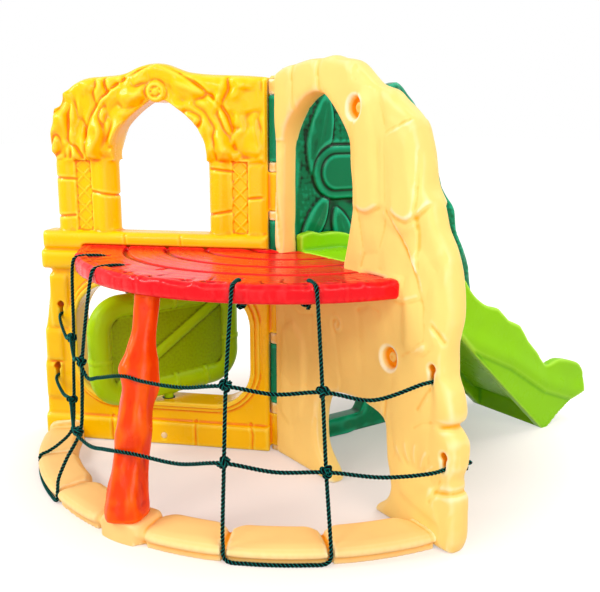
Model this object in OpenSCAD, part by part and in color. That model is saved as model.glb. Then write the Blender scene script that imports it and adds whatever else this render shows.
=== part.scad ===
// Toddler climbing gym of moulded walls, with a platform, a slide, a turning gate and a rope net.
// The origin lies on the hinge rod at the floor. The rock wall runs along +X, the leaf wall and the
// slide run along +Y, and the window wall stands at the fold angle to the rock wall.
// A wall is drawn in its own panel: x away from the hinge rod, y up, z towards its front.

/* [Walls] */
// Height of the walls
wall_h = 1107; // [1090:1:1130]
// Thickness of a wall panel
wall_t = 60; // [54:1:68]
// Rounding of the walls' edges
wall_edge = 12; // [6:1:14]
// Angle between the fronts of the window wall and the rock wall
fold_angle = 135; // [132:1:138]
// Radius of a hinge knuckle
knuckle_r = 24; // [18:1:25]
// Radius of the hinge rod
rod_r = 8; // [6:0.5:10]

/* [Window wall] */
// Length of the window wall from the hinge rod
window_len = 722; // [700:2:760]
// Rise of the sill above the platform
sill_rise = 37; // [20:1:50]
// Height where the arch springs, as a share of the walls' rise above the platform
spring_share = 0.525; // [0.47:0.005:0.55]
// Distance of the window's middle from the hinge rod, as a share of the wall's length
window_mid_share = 0.457; // [0.446:0.001:0.468]
// Clear width of the window between its columns, as a share of the wall's length
window_w_share = 0.374; // [0.346:0.002:0.388]
// Rise of the window's arch, as a share of the walls' rise above the platform
arch_rise_share = 0.296; // [0.25:0.002:0.32]
// Radius of the columns beside the window
column_r = 37; // [34:1:40]
// Radius of the column at the outer end
end_column_r = 34; // [32:1:38]
// Distance of the gate's middle from the hinge rod, as a share of the wall's length
gate_mid_share = 0.468; // [0.46:0.001:0.476]
// Width of the opening for the gate, as a share of the wall's length
gate_open_share = 0.7313; // [0.692:0.0013:0.7417]
// Height of the opening for the gate
gate_open_h = 346; // [320:2:356]
// Height of the opening's lower edge above the floor
gate_open_z = 138; // [128:1:146]
// Corner radius of the opening
gate_open_r = 112; // [90:1:125]

/* [Rock wall] */
// Length of the rock wall from the hinge rod
rock_len = 748; // [730:2:770]
// Clear width of the doorway
door_w = 302; // [290:1:310]
// Height of the doorway, as a share of the walls' rise above the platform
door_share = 0.8225; // [0.77:0.0025:0.845]
// Distance of the doorway's near side from the hinge rod
door_x = 64; // [60:1:72]
// Width of the crawl arch
arch_w = 307; // [280:1:315]
// Height of the crawl arch
arch_h = 270; // [250:1:290]
// Distance of the crawl arch from the hinge rod
arch_x = 222; // [210:1:235]

/* [Leaf wall] */
// Length of the leaf wall from the hinge rod
leaf_len = 757; // [740:1:770]
// Width of the opening in the leaf wall's foot
leaf_open_w = 215; // [190:1:230]
// Height of the top of that opening
leaf_open_h = 300; // [270:1:320]
// Height of the bar under that opening
leaf_bar_h = 58; // [50:1:66]

/* [Platform] */
// Height of the platform's top
platform_top = 600; // [585:1:615]
// Thickness of the platform
platform_t = 47; // [40:1:52]
// Radius of the platform's round rim
platform_r = 592; // [580:1:600]
// Depth of a platform tongue in its wall
tongue_depth = 22; // [16:1:26]

/* [Trunk post] */
// Distance of the post's foot inside the stone ring's outer edge
post_foot_inset = 33; // [28:1:40]
// Distance of the post's top inside the platform's rim
post_top_inset = 52; // [50:1:60]
// Radius of the post's foot
post_foot_r = 52; // [46:1:56]
// Radius of the post's top
post_top_r = 33; // [30:1:38]

/* [Stone ring] */
// Outer radius of the stone ring
ring_r = 746; // [735:1:755]
// Width of the stone ring
ring_w = 110; // [100:1:115]
// Height of the stones
ring_h = 52; // [46:1:60]

/* [Slide] */
// Level length of the slide's top
slide_top_run = 158; // [140:1:170]
// Length of the slide along the floor
slide_run = 930; // [900:5:960]
// Width of the slide
slide_w = 298; // [288:1:302]
// Thickness of a side rail
rail_t = 30; // [24:1:36]
// Greatest height of a side rail above the bed
rail_h = 160; // [140:1:175]
// Slope of the slide's bed
slide_slope = 41.8; // [41:0.1:43]

/* [Gate] */
// Gap between the gate and its opening
gate_gap = 12; // [10:0.5:16]
// Radius of the gate's bamboo frame
bamboo_r = 32; // [28:0.5:34]
// Thickness of the gate's panel
gate_panel_t = 30; // [22:1:36]
// Radius of the gate's pivots
pivot_r = 14; // [11:0.5:16]
// Angle at which the gate stands open
gate_turn = 52; // [45:1:80]

/* [Net] */
// Diameter of the net's ropes
rope_d = 9; // [7:0.5:10]

/* [Hidden] */
$fn = 48;

// Gap of a fit, gap between neighbours, and overrun of cuts
fit = 0.3;
gap = 1;
over = 2;
half_t = wall_t / 2;
platform_bottom = platform_top - platform_t;
sill_top = platform_top + sill_rise;
upper_h = wall_h - platform_top;
spring_z = platform_top + spring_share * upper_h;
window_rise = arch_rise_share * upper_h;
door_h = door_share * upper_h;
window_mid = window_mid_share * window_len;
window_w = window_w_share * window_len;
gate_mid = gate_mid_share * window_len;
gate_open_w = gate_open_share * window_len;

// Heights of the hinge, the window wall and the leaf wall as shares of the walls' height
hinge_h_share = 0.9575;
window_h_share = 0.9973;
leaf_h_share = 0.9594;
hinge_h = hinge_h_share * wall_h;
window_h = window_h_share * wall_h;
leaf_h = leaf_h_share * wall_h;

// Points on a wall from shares of its length and height; what lies under the platform keeps to the platform
function wall_z(s, size, deck_share) =
    s < deck_share ? s / deck_share * platform_top
    : platform_top + (s - deck_share) / (1 - deck_share) * (size.y - platform_top);
function on_wall(shares, size, deck_share) = [
    for (s = shares) [s.x * size.x, wall_z(s.y, size, deck_share)]
];

// Where the fronts of the window wall and the rock wall meet, moved forward by each wall's own offset
window_normal = [cos(90 - fold_angle), sin(90 - fold_angle)];
function front_corner(window_off, rock_off) =
    let (y = -(half_t + rock_off))
    [(half_t + window_off - window_normal.y * y) / window_normal.x, y];
corner = front_corner(0, 0);

// Point given by its reach and angle about the front corner, and its height
function polar(p) = [corner.x + p[0] * cos(p[1]), corner.y + p[0] * sin(p[1]), p[2]];

// Points of a smooth curve through p, with n steps to a span
function smooth(p, n) = [
    for (i = [0:len(p) - 2]) for (k = [0:n - 1]) span(p, i, k / n),
    p[len(p) - 1]
];
function span(p, i, u) =
    let (a = p[max(i - 1, 0)], b = p[i], c = p[i + 1], d = p[min(i + 2, len(p) - 1)])
    (2 * b + (c - a) * u + (2 * a - 5 * b + 4 * c - d) * u * u + (3 * b - a - 3 * c + d) * u * u * u) / 2;

// Shares of a width and a height as points from a start
function placed(shares, start, size) = [
    for (s = shares) [start.x + s.x * size.x, start.y + s.y * size.y]
];

// Outline moved inward by d
function unit(v) = v / norm(v);
function inward(p, i) =
    let (t = unit(p[(i + 1) % len(p)] - p[i % len(p)]))
    [-t.y, t.x];
function inset(p, d) = [
    for (i = [0:len(p) - 1])
        let (m = inward(p, i + len(p) - 1), n = inward(p, i))
        p[i] + (m + n) * d / (1 + m * n)
];

// Solid skinned through rings of equally many points
module loft(rings) {
    n = len(rings[0]);
    last = len(rings) - 1;
    sides = [
        for (k = [0:last - 1]) for (i = [0:n - 1])
            let (a = k * n + i, b = k * n + (i + 1) % n)
            each [[a, a + n, b + n], [a, b + n, b]]
    ];
    ends = [[for (i = [0:n - 1]) i], [for (i = [n - 1:-1:0]) last * n + i]];
    polyhedron([for (r = rings) each r], [each sides, each ends], convexity = 10);
}

// Panel with rounded edges, cut flat at its faces, and the cut of an opening with rounded lips
ease_shares = [[-0.2, 1.32], [0.29, 0.29], [1, 0]];
panel_reach = 2 * wall_h;
function ring_at(p, d, z) = [for (q = inset(p, d)) [q.x, q.y, z]];
module rounded_panel(p, t, e) {
    intersection() {
        plate(t) square(panel_reach, center = true);
        loft([
            for (s = ease_shares) ring_at(p, s[1] * e, s[0] * e - t / 2),
            for (i = [2:-1:0]) ring_at(p, ease_shares[i][1] * e, t / 2 - ease_shares[i][0] * e)
        ]);
    }
}
module rounded_cut(p, t, e) {
    ease = ease_shares[1] * e;
    levels = [[-over, e], [0, e], ease, [e, 0]];
    loft([
        for (l = levels) ring_at(p, -l[1], l[0] - t / 2),
        for (i = [3:-1:0]) ring_at(p, -levels[i][1], t / 2 - levels[i][0])
    ]);
}

// Panels of the three walls
module window_panel() {
    rotate([0, 0, 180 - fold_angle])
        mirror([1, 0, 0])
            rotate([90, 0, 0]) children();
}
module rock_panel() {
    rotate([90, 0, 0]) children();
}
module leaf_panel() {
    rotate([90, 0, 90]) children();
}

// Cylinder up a panel, and plate of a flat shape in the middle of a panel
module panel_column(x, r, low, high) {
    translate([x, low, 0])
        rotate([-90, 0, 0])
            cylinder(r = r, h = high - low);
}
module plate(t) {
    translate([0, 0, -t / 2])
        linear_extrude(t) children();
}
module rounded_square(w, h, r) {
    square([w - 2 * r, h], center = true);
    square([w, h - 2 * r], center = true);
    for (x = [-1, 1]) for (y = [-1, 1])
        translate([x * (w / 2 - r), y * (h / 2 - r)])
            circle(r);
}
// Leaf of two arcs along x
module leaf_shape(l, w) {
    r = (l * l / w + w) / 4;
    intersection() {
        translate([0, r - w / 2]) circle(r);
        translate([0, w / 2 - r]) circle(r);
    }
}

// Hinge knuckles: the shares of the stack's height where one wall's knuckle ends and the next starts
stack_shares = [0, 0.014, 0.106, 0.137, 0.304, 0.335, 0.43, 0.639, 0.664, 0.765, 0.791, 0.96, 1];
stack_walls = ["rock", "window", "rock", "leaf", "rock", "window", "leaf", "rock", "window", "rock",
    "leaf", "rock"];
// Where the walls start from the rod, and the room round the knuckles
wall_start = 22;
leaf_gap = 4;
leaf_start = half_t + leaf_gap;
hinge_room = 5;
hinge_web = 36;
// Seat of the rod in the lowest knuckle, and the cap on its top
rod_seat = 5;
cap_h = 8;
cap_spigot = 12;
module knuckles(wall) {
    for (i = [0:len(stack_walls) - 1]) if (stack_walls[i] == wall) {
        low = stack_shares[i] * hinge_h + (i > 0 ? gap : 0);
        high = stack_shares[i + 1] * hinge_h;
        panel_column(0, knuckle_r, low, high);
        translate([0, low, -hinge_web / 2])
            cube([leaf_start + wall_edge, high - low, hinge_web]);
    }
}
module hinge_clearance() {
    panel_column(0, knuckle_r + hinge_room, -over, wall_h + over);
}
module rod_bore() {
    panel_column(0, rod_r + fit, rod_seat, hinge_h + over);
}
module hinge_rod() {
    color("silver")
        translate([0, 0, rod_seat])
            cylinder(r = rod_r, h = hinge_h - cap_spigot - gap - rod_seat);
}
module rod_cap() {
    color("#f7dc8c") {
        translate([0, 0, hinge_h])
            cylinder(r1 = knuckle_r - gap, r2 = knuckle_r - cap_h, h = cap_h);
        translate([0, 0, hinge_h - cap_spigot])
            cylinder(r = rod_r, h = cap_spigot);
    }
}

// Room between the fronts of the two front walls, each side moved by its own offset
wedge_reach = 2 * ring_r;
module front_wedge(window_off, rock_off, low, high) {
    tip = front_corner(window_off, rock_off);
    translate([tip.x, tip.y, low])
        linear_extrude(high - low)
            polygon([
                [0, 0],
                wedge_reach * [cos(fold_angle), -sin(fold_angle)],
                wedge_reach * [0, -1],
                wedge_reach * [1, -1],
                [wedge_reach, 0]
            ]);
}

// Keyhole for a rope's end: a round hole with a slot below it, where the rope comes to lie
keyhole_r = rope_d + gap;
keyhole_slot_w = rope_d + 2 * gap;
keyhole_drop = 30;
function keyhole_z(p) = p.z - rope_d / 2 - fit + keyhole_drop + keyhole_slot_w / 2;
module keyholes(places) {
    for (p = places) translate([p.x, p.y])
        plate(2 * wall_t) {
            circle(keyhole_r);
            translate([-keyhole_slot_w / 2, -keyhole_drop])
                square([keyhole_slot_w, keyhole_drop]);
            translate([0, -keyhole_drop]) circle(keyhole_slot_w / 2);
        }
}
module window_keyholes() {
    keyholes([for (p = [upper_points[0], lower_points[0]]) [[p.x, p.y] * window_along, keyhole_z(p)]]);
}
module rock_keyholes() {
    keyholes([for (p = [upper_points[len(upper_points) - 1], lower_points[len(lower_points) - 1]])
        [p.x, keyhole_z(p)]]);
}

// Platform tongues: shares of the platform's radius where each starts, and their common size
tongue_w = 84;
tongue_h = 30;
tongue_root = 8;
window_tongue_shares = [0.2, 0.64];
rock_tongue_share = 0.71;
module tongue(start, grow) {
    low = platform_bottom + (platform_t - tongue_h) / 2;
    translate([start - grow, low - grow, half_t - tongue_depth - grow])
        cube([tongue_w + 2 * grow, tongue_h + 2 * grow, tongue_depth + tongue_root + 2 * grow]);
}
module window_tongues(grow) {
    for (s = window_tongue_shares) tongue(s * platform_r, grow);
}
module rock_tongue(grow) {
    tongue(rock_tongue_share * platform_r, grow);
}

// Bolts from the back of a wall: half thickness at the back, and how far the shank reaches forward
bolt_r = 4;
bolt_head_r = 10;
bolt_head_h = 7;
bolt_bite = 18;
tongue_bolt_share = 0.4;
ring_bolt_share = 0.42;
tongue_bolt_z = platform_bottom + tongue_bolt_share * platform_t;
ring_bolt_z = ring_bolt_share * ring_h;
module bolt(x, y, back, tip) {
    translate([x, y, -back - bolt_head_h])
        cylinder(r1 = bolt_head_r - gap, r2 = bolt_head_r, h = bolt_head_h);
    translate([x, y, -back - over])
        cylinder(r = bolt_r, h = back + over + tip);
}
module bolt_bore(x, y, back, tip) {
    translate([x, y, -back - over])
        cylinder(r = bolt_r + fit, h = back + over + tip + fit);
}
step_rise = 12;
step_t = wall_t + 2 * step_rise;
tongue_bolt_tip = half_t - gap;
rock_ring_tip = half_t + bolt_bite;
window_ring_tip = step_t / 2 + bolt_bite;
window_tongue_bolts = [for (s = window_tongue_shares) s * platform_r + tongue_w / 2];
rock_tongue_bolt = rock_tongue_share * platform_r + tongue_w / 2;

// Where the middle of the stone ring meets the two walls
ring_centre = [-33, 77];
ring_mid_r = ring_r - ring_w / 2;
window_along = [cos(fold_angle), -sin(fold_angle)];
ring_bolt_rock = ring_centre.x + sqrt(pow(ring_mid_r, 2) - pow(ring_centre.y + half_t, 2));
ring_bolt_window = ring_centre * window_along
    + sqrt(pow(ring_mid_r, 2) - pow(step_t / 2 - ring_centre * window_normal, 2));

// Room that the platform takes in front of the walls
deck_centre = [-34, 51];
rim_round = 12;
module deck_room() {
    intersection() {
        translate([deck_centre.x, deck_centre.y, platform_bottom - gap])
            cylinder(r = platform_r + gap, h = platform_t + 2 * gap);
        front_wedge(-fit, 0, platform_bottom - 2 * gap, platform_top + 2 * gap);
    }
}

// Window wall: outline as shares of its length and height, from the foot up and over the roof
window_foot_shares = [[0.996, 0.024], [0.998, 0.095], [0.995, 0.165], [0.994, 0.2], [0.986, 0.3],
    [0.976, 0.336], [0.968, 0.369], [0.96, 0.402], [0.953, 0.435], [0.941, 0.47]];
window_roof_shares = [[0.892, 0.76], [0.911, 0.784], [0.917, 0.813], [0.909, 0.844], [0.88, 0.881],
    [0.861, 0.904], [0.832, 0.933], [0.814, 0.947], [0.756, 0.965], [0.698, 0.969], [0.63, 0.972],
    [0.585, 0.977], [0.543, 0.99], [0.482, 1], [0.42, 0.997], [0.344, 0.978], [0.229, 0.971],
    [0.125, 0.969], [0.031, 0.964]];
window_deck_share = 0.5435;
window_neck_share = 0.861;
window_size = [window_len, window_h];
function on_window(shares) = on_wall(shares, window_size, window_deck_share);
window_roof = smooth(on_window(window_roof_shares), 2);
window_outline = concat(
    [[wall_start, 0], [window_len, 0]],
    smooth(on_window(window_foot_shares), 2),
    [[window_neck_share * window_len, sill_top], [window_neck_share * window_len, window_roof[0].y - gap]],
    window_roof
);
// How far the reliefs stand proud of each face
band_rise = 17;
stone_rise = 8;
arch_rise = 10;
roof_rise = 5;
leaf_rise = 14;
rim_rise = 8;
band_t = wall_t + 2 * band_rise;
stone_t = wall_t + 2 * stone_rise;
arch_t = wall_t + 2 * arch_rise;
roof_t = wall_t + 2 * roof_rise;
leaf_t = wall_t + 2 * leaf_rise;
rim_t = wall_t + 2 * rim_rise;
relief_edge = 10;
joint_w = 5;

// Pointed arch: right or left side point at share u of its rise
function ogive(w, h, power, u) = [w * (1 - pow(u, power)), h * u];
arch_steps = 10;
inner_power = 2;
outer_power = 2.7;
arch_band_w = 78;
outer_rise = window_h - spring_z;
function arch_side(w, h, power) = [for (i = [0:arch_steps - 1]) ogive(w, h, power, i / arch_steps)];
function arch_points(w, h, power) =
    let (side = arch_side(w, h, power))
    concat(side, [[0, h]], [for (i = [len(side) - 1:-1:0]) [-side[i].x, side[i].y]]);
module arch_outline(w, h, power, foot) {
    translate([window_mid, spring_z])
        polygon(concat([[-w, -foot], [w, -foot]], arch_points(w, h, power)));
}
module window_shape() {
    arch_outline(window_w / 2, window_rise, inner_power, spring_z - sill_top);
}
hem_drop = 6;
eave_drop = 27;
column_top = spring_z - eave_drop;
module roof() {
    plate(roof_t) difference() {
        intersection() {
            polygon(inset(window_outline, relief_edge / 2));
            translate([wall_start, column_top]) square([window_len, window_h]);
        }
        window_shape();
    }
    plate(arch_t) difference() {
        arch_outline(window_w / 2 + arch_band_w, outer_rise, outer_power, hem_drop);
        window_shape();
        translate([window_mid - window_w / 2, spring_z - 2 * hem_drop])
            square([window_w, 2 * hem_drop + over]);
    }
}
// Leaves of the thatch: rows along the arch as shares of its rise and its band, and singles beside it
thatch_row_shares = [0.1, 0.28, 0.46, 0.63, 0.8];
thatch_line_shares = [0.3, 0.72];
thatch_leaf = [58, 24];
thatch_lean = 24;
thatch_fall = 75;
side_leaf_shares = [[0.871, 0.82], [0.81, 0.815], [0.876, 0.875], [0.805, 0.88], [0.83, 0.92],
    [0.738, 0.945], [0.205, 0.82], [0.138, 0.85], [0.215, 0.9], [0.143, 0.93]];
side_leaf_turns = [80, 96, 62, 75, 40, 25, 95, 80, 110, 130];
module thatch_leaf_at(p, turn) {
    translate(p) rotate(turn) leaf_shape(thatch_leaf.x, thatch_leaf.y);
}
module thatch() {
    side_places = on_window(side_leaf_shares);
    plate(leaf_t) {
        for (side = [-1, 1]) for (u = thatch_row_shares) {
            a = ogive(window_w / 2, window_rise, inner_power, u);
            b = ogive(window_w / 2 + arch_band_w, outer_rise, outer_power, u);
            for (k = thatch_line_shares) {
                p = a + (b - a) * k;
                turn = 90 - thatch_fall * u + thatch_lean * (k - 0.5);
                thatch_leaf_at([window_mid + side * p.x, spring_z + p.y], side > 0 ? 180 - turn : turn);
            }
        }
        for (i = [0:len(side_places) - 1]) thatch_leaf_at(side_places[i], side_leaf_turns[i]);
    }
}
// Boss at the head of the arch, with a ring round it and a button in its middle
boss_r = 29;
boss_rise = 2;
boss_ring_rise = 7;
boss_lip = 5;
boss_ring_w = 7;
boss_button_r = 9;
boss_share = 0.93;
module arch_boss() {
    place = on_window([[window_mid / window_len, boss_share]])[0];
    translate([place.x, place.y, 0]) {
        plate(leaf_t + 2 * boss_rise) circle(boss_r);
        plate(leaf_t + 2 * boss_ring_rise) {
            difference() {
                circle(boss_r - boss_lip);
                circle(boss_r - boss_lip - boss_ring_w);
            }
            circle(boss_button_r);
        }
    }
}
// Column of stone drums, with joints at shares of its height
joint_depth = 4;
column_h = column_top - sill_top;
module column(x, r, joint_shares) {
    cuts = concat([0], joint_shares, [1]);
    panel_column(x, r - joint_depth, sill_top - over, column_top + over);
    for (i = [0:len(cuts) - 2]) {
        low = sill_top + cuts[i] * column_h + joint_w / 2;
        panel_column(x, r, low, sill_top + cuts[i + 1] * column_h - joint_w / 2);
    }
}
column_x = window_w / 2 + column_r;
end_column_share = 0.857;
outer_joint_shares = [0.48];
inner_joint_shares = [0.24, 0.76];
end_joint_shares = [0.2, 0.68];
pilaster_shares = [0.051, 0.108];
pilaster_block_shares = [0, 0.46];
module columns() {
    column(window_mid + column_x, column_r, outer_joint_shares);
    column(window_mid - column_x, column_r, inner_joint_shares);
    column(end_column_share * window_len, end_column_r, end_joint_shares);
    for (y = pilaster_block_shares)
        translate([pilaster_shares[0] * window_len, sill_top + y * column_h + joint_w / 2, -roof_t / 2])
            cube([(pilaster_shares[1] - pilaster_shares[0]) * window_len, column_h / 2 - joint_w, roof_t]);
}
// Sunk panels of crossed strips between the columns, on both faces
lattice_depth = 9;
lattice_pitch = 46;
lattice_strip = 4;
lattice_shares = [[0.108, 0.17], [0.747, 0.809]];
module lattice() {
    for (s = lattice_shares) {
        w = (s[1] - s[0]) * window_len;
        translate([s[0] * window_len, sill_top, 0])
            for (face = [-1, 1])
                translate([0, 0, face > 0 ? half_t - lattice_depth : -half_t - over])
                    linear_extrude(lattice_depth + over)
                        difference() {
                            square([w, column_h]);
                            for (k = [-1:column_h / lattice_pitch]) for (lean = [-1, 1])
                                translate([w / 2, (k + 0.5) * lattice_pitch])
                                    rotate(lean * 45)
                                        square([2 * w, lattice_strip], center = true);
                        }
    }
}
// Two bands like logs under the window, the step at the foot and the stones at the outer edge
band_gap = 5;
upper_band_drop = 15;
lower_band_drop = 76;
upper_band_low = platform_top - upper_band_drop;
lower_band_low = platform_top - lower_band_drop;
upper_band_share = 0.963;
lower_band_share = 0.976;
band_edge = 16;
step_h = 74;
step_joint_shares = [0.31, 0.5, 0.7];
edge_stone_shares = [0.11, 0.217, 0.312, 0.462];
edge_reach_shares = [0.992, 0.984, 0.95];
edge_stone_w = 60;
module block(low, high, t, e) {
    rounded_panel([low, [high.x, low.y], high, [low.x, high.y]], t, e);
}
module window_bands() {
    block([wall_start, upper_band_low], [upper_band_share * window_len, sill_top], band_t, band_edge);
    block([gate_mid + gate_open_w / 2 - rim_w, lower_band_low],
        [lower_band_share * window_len, upper_band_low - band_gap], band_t, band_edge);
    difference() {
        block([wall_start, 0], [window_len, step_h], step_t, relief_edge);
        for (s = step_joint_shares)
            translate([s * window_len, step_h / 2, 0])
                plate_joint(step_h, step_t);
    }
    for (i = [0:len(edge_stone_shares) - 2]) {
        low = wall_z(edge_stone_shares[i], window_size, window_deck_share);
        high = wall_z(edge_stone_shares[i + 1], window_size, window_deck_share);
        edge = edge_reach_shares[i] * window_len;
        block([edge - edge_stone_w, low + joint_w / 2], [edge, high - joint_w / 2], stone_t, relief_edge);
    }
}
// Groove up both faces of a plate of thickness t
module plate_joint(h, t) {
    for (face = [-1, 1])
        translate([-joint_w / 2, -h / 2 - over, face * t / 2 - joint_w / 2])
            cube([joint_w, h + 2 * over, joint_w]);
}
// Opening for the gate, its raised rim and the seats of the gate's bushes
gate_mid_z = gate_open_z + gate_open_h / 2;
rim_w = 26;
bush_wall = 4;
bush_h = 14;
bush_floor = 2;
bush_r = pivot_r + fit + bush_wall;
module gate_opening(t, grow) {
    translate([gate_mid, gate_mid_z, 0])
        plate(t) rounded_square(gate_open_w + 2 * grow, gate_open_h + 2 * grow, gate_open_r + grow);
}
module gate_rim() {
    gate_opening(rim_t, rim_w);
    gate_opening(rim_t + 2 * relief_edge, rim_w / 2);
    panel_column(gate_mid, bush_r + rim_w / 2, gate_open_z - 2 * bush_h, gate_open_z + over);
}
module bush_seats() {
    top = gate_open_z + gate_open_h;
    panel_column(gate_mid, bush_r + fit, gate_open_z - bush_h, gate_open_z + rim_w);
    panel_column(gate_mid, bush_r + fit, top - rim_w, top + bush_h);
}
plug_x_share = 0.474;
plug_z_share = 0.405;
plug_place = [plug_x_share * window_len, plug_z_share * step_h];
plug_r = 9;
plug_depth = 6;
plug_crown = 3;
module window_wall() {
    color("#ffc21a")
        difference() {
            window_panel() difference() {
                union() {
                    difference() {
                        union() {
                            difference() {
                                rounded_panel(window_outline, wall_t, wall_edge);
                                plate(wall_t + over) {
                                    window_shape();
                                    translate([window_mid - column_x, sill_top])
                                        square([2 * column_x, spring_z - sill_top]);
                                }
                                lattice();
                            }
                            columns();
                            roof();
                            thatch();
                            arch_boss();
                            window_bands();
                            gate_rim();
                        }
                        hinge_clearance();
                    }
                    knuckles("window");
                }
                gate_opening(2 * wall_t, 0);
                bush_seats();
                window_keyholes();
                window_tongues(fit);
                for (x = window_tongue_bolts) bolt_bore(x, tongue_bolt_z, half_t, tongue_bolt_tip);
                bolt_bore(ring_bolt_window, ring_bolt_z, step_t / 2, window_ring_tip);
                translate([plug_place.x, plug_place.y, step_t / 2 - plug_depth])
                    cylinder(r = plug_r + fit, h = plug_depth + over);
                rod_bore();
            }
            deck_room();
        }
}
module drain_plug() {
    color("#f4ead0")
        window_panel()
            translate([plug_place.x, plug_place.y, step_t / 2 - plug_depth]) {
                cylinder(r = plug_r, h = plug_depth);
                translate([0, 0, plug_depth])
                    cylinder(r1 = plug_r, r2 = plug_r - plug_crown, h = plug_crown);
            }
}
module gate_bushes() {
    color("#3c3c40")
        window_panel()
            for (end = [-1, 1])
                translate([gate_mid, gate_mid_z + end * (gate_open_h / 2 + bush_h), 0])
                    rotate([90 * end, 0, 0])
                        difference() {
                            cylinder(r = bush_r, h = bush_h);
                            translate([0, 0, bush_floor]) cylinder(r = pivot_r + fit, h = bush_h);
                        }
}

// Rock wall: outline as shares of its length and height, from the foot up and over to the corner
rock_shares = [[1, 0.023], [0.991, 0.121], [0.972, 0.154], [0.988, 0.183], [0.991, 0.239], [0.959, 0.263],
    [0.98, 0.285], [0.964, 0.34], [0.941, 0.366], [0.94, 0.431], [0.956, 0.476], [0.949, 0.552],
    [0.93, 0.597], [0.88, 0.655], [0.86, 0.705], [0.834, 0.731], [0.814, 0.786], [0.782, 0.853],
    [0.746, 0.879], [0.69, 0.903], [0.655, 0.921], [0.587, 0.932], [0.553, 0.949], [0.505, 0.972],
    [0.467, 0.986], [0.401, 0.992], [0.361, 1], [0.305, 0.995], [0.229, 0.996], [0.144, 0.988],
    [0.082, 0.984], [0.029, 0.967]];
rock_foot_share = 0.985;
rock_deck_share = 0.542;
rock_size = [rock_len, wall_h];
function on_rock(shares) = on_wall(shares, rock_size, rock_deck_share);
rock_outline = concat(
    [[wall_start, 0], [rock_foot_share * rock_len, 0]],
    smooth(on_rock(rock_shares), 2)
);
rock_edge = 18;
opening_edge = 8;
// Doorway above the platform, as shares of its width and height
door_shares = [[0.89, 0.02], [0.947, 0.19], [1, 0.365], [0.993, 0.45], [0.944, 0.59], [0.937, 0.72],
    [0.858, 0.815], [0.748, 0.9], [0.613, 0.98], [0.526, 1], [0.361, 0.978], [0.219, 0.916],
    [0.103, 0.839], [0.02, 0.731], [0, 0.576], [-0.007, 0.24], [-0.02, 0.02]];
door_sides = smooth(placed(door_shares, [door_x, platform_top], [door_w, door_h]), 2);
door_low = platform_bottom - fit;
door_outline = concat(
    [[door_sides[len(door_sides) - 1].x, door_low], [door_sides[0].x, door_low]],
    door_sides
);
// Crawl arch at the floor, as shares of its width and height
arch_shares = [[0.81, 0], [0.834, 0.08], [0.938, 0.167], [1, 0.315], [0.945, 0.556], [0.93, 0.8],
    [0.906, 0.926], [0.743, 0.978], [0.58, 1], [0.417, 0.993], [0.22, 0.956], [0.075, 0.87],
    [0.007, 0.7], [0, 0.48], [0.033, 0.3], [0.13, 0.18], [0.202, 0.074], [0.221, 0]];
arch_sides = smooth(placed(arch_shares, [arch_x, 0], [arch_w, arch_h]), 2);
arch_sink = wall_t;
crawl_outline = concat(
    [[arch_sides[len(arch_sides) - 1].x, -arch_sink], [arch_sides[0].x, -arch_sink]],
    arch_sides
);
// Slabs of rock that stand proud, as shares of the wall's length and height
slab_shares = [
    [[0.5, 0.688], [0.542, 0.658], [0.59, 0.662], [0.632, 0.678], [0.621, 0.75], [0.606, 0.826],
        [0.579, 0.9], [0.527, 0.925], [0.5, 0.86], [0.503, 0.77]],
    [[0.645, 0.668], [0.685, 0.642], [0.74, 0.632], [0.8, 0.646], [0.83, 0.68], [0.79, 0.76], [0.77, 0.82],
        [0.715, 0.86], [0.665, 0.87], [0.632, 0.82], [0.637, 0.74]],
    [[0.76, 0.4], [0.8, 0.395], [0.85, 0.4], [0.9, 0.43], [0.92, 0.5], [0.89, 0.57], [0.83, 0.61],
        [0.785, 0.6], [0.755, 0.5]],
    [[0.76, 0.08], [0.86, 0.065], [0.945, 0.055], [0.95, 0.1], [0.93, 0.135], [0.87, 0.14], [0.81, 0.15],
        [0.76, 0.15], [0.74, 0.12]],
    [[0.074, 0.12], [0.137, 0.1], [0.211, 0.13], [0.242, 0.22], [0.232, 0.34], [0.158, 0.38], [0.084, 0.35],
        [0.074, 0.23]]
];
slab_rise = 7;
slab_t = wall_t + 2 * slab_rise;
module rock_slabs() {
    for (s = slab_shares) rounded_panel(on_rock(s), slab_t, relief_edge);
}
// Round tie points where the two skins of the wall meet
tie_shares = [[0.503, 0.886], [0.692, 0.368]];
tie_r = 28;
tie_core_r = 13;
tie_depth = 24;
tie_core_depth = 12;
module ties() {
    for (p = on_rock(tie_shares)) for (face = [0, 1])
        mirror([0, 0, face])
            translate([p.x, p.y, half_t - tie_depth])
                difference() {
                    cylinder(r1 = tie_r - tie_depth / 4, r2 = tie_r, h = tie_depth + 2 * relief_edge);
                    cylinder(r = tie_core_r, h = tie_depth - tie_core_depth);
                }
}
module rock_wall() {
    color("#f9dd8f")
        rock_panel() difference() {
            union() {
                difference() {
                    union() {
                        rounded_panel(rock_outline, wall_t, rock_edge);
                        rock_slabs();
                    }
                    hinge_clearance();
                    rounded_cut(door_outline, wall_t, opening_edge);
                    rounded_cut(crawl_outline, wall_t, opening_edge);
                }
                knuckles("rock");
            }
            ties();
            rock_keyholes();
            rock_tongue(fit);
            bolt_bore(rock_tongue_bolt, tongue_bolt_z, half_t, tongue_bolt_tip);
            bolt_bore(ring_bolt_rock, ring_bolt_z, half_t, rock_ring_tip);
            rod_bore();
        }
}

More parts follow.
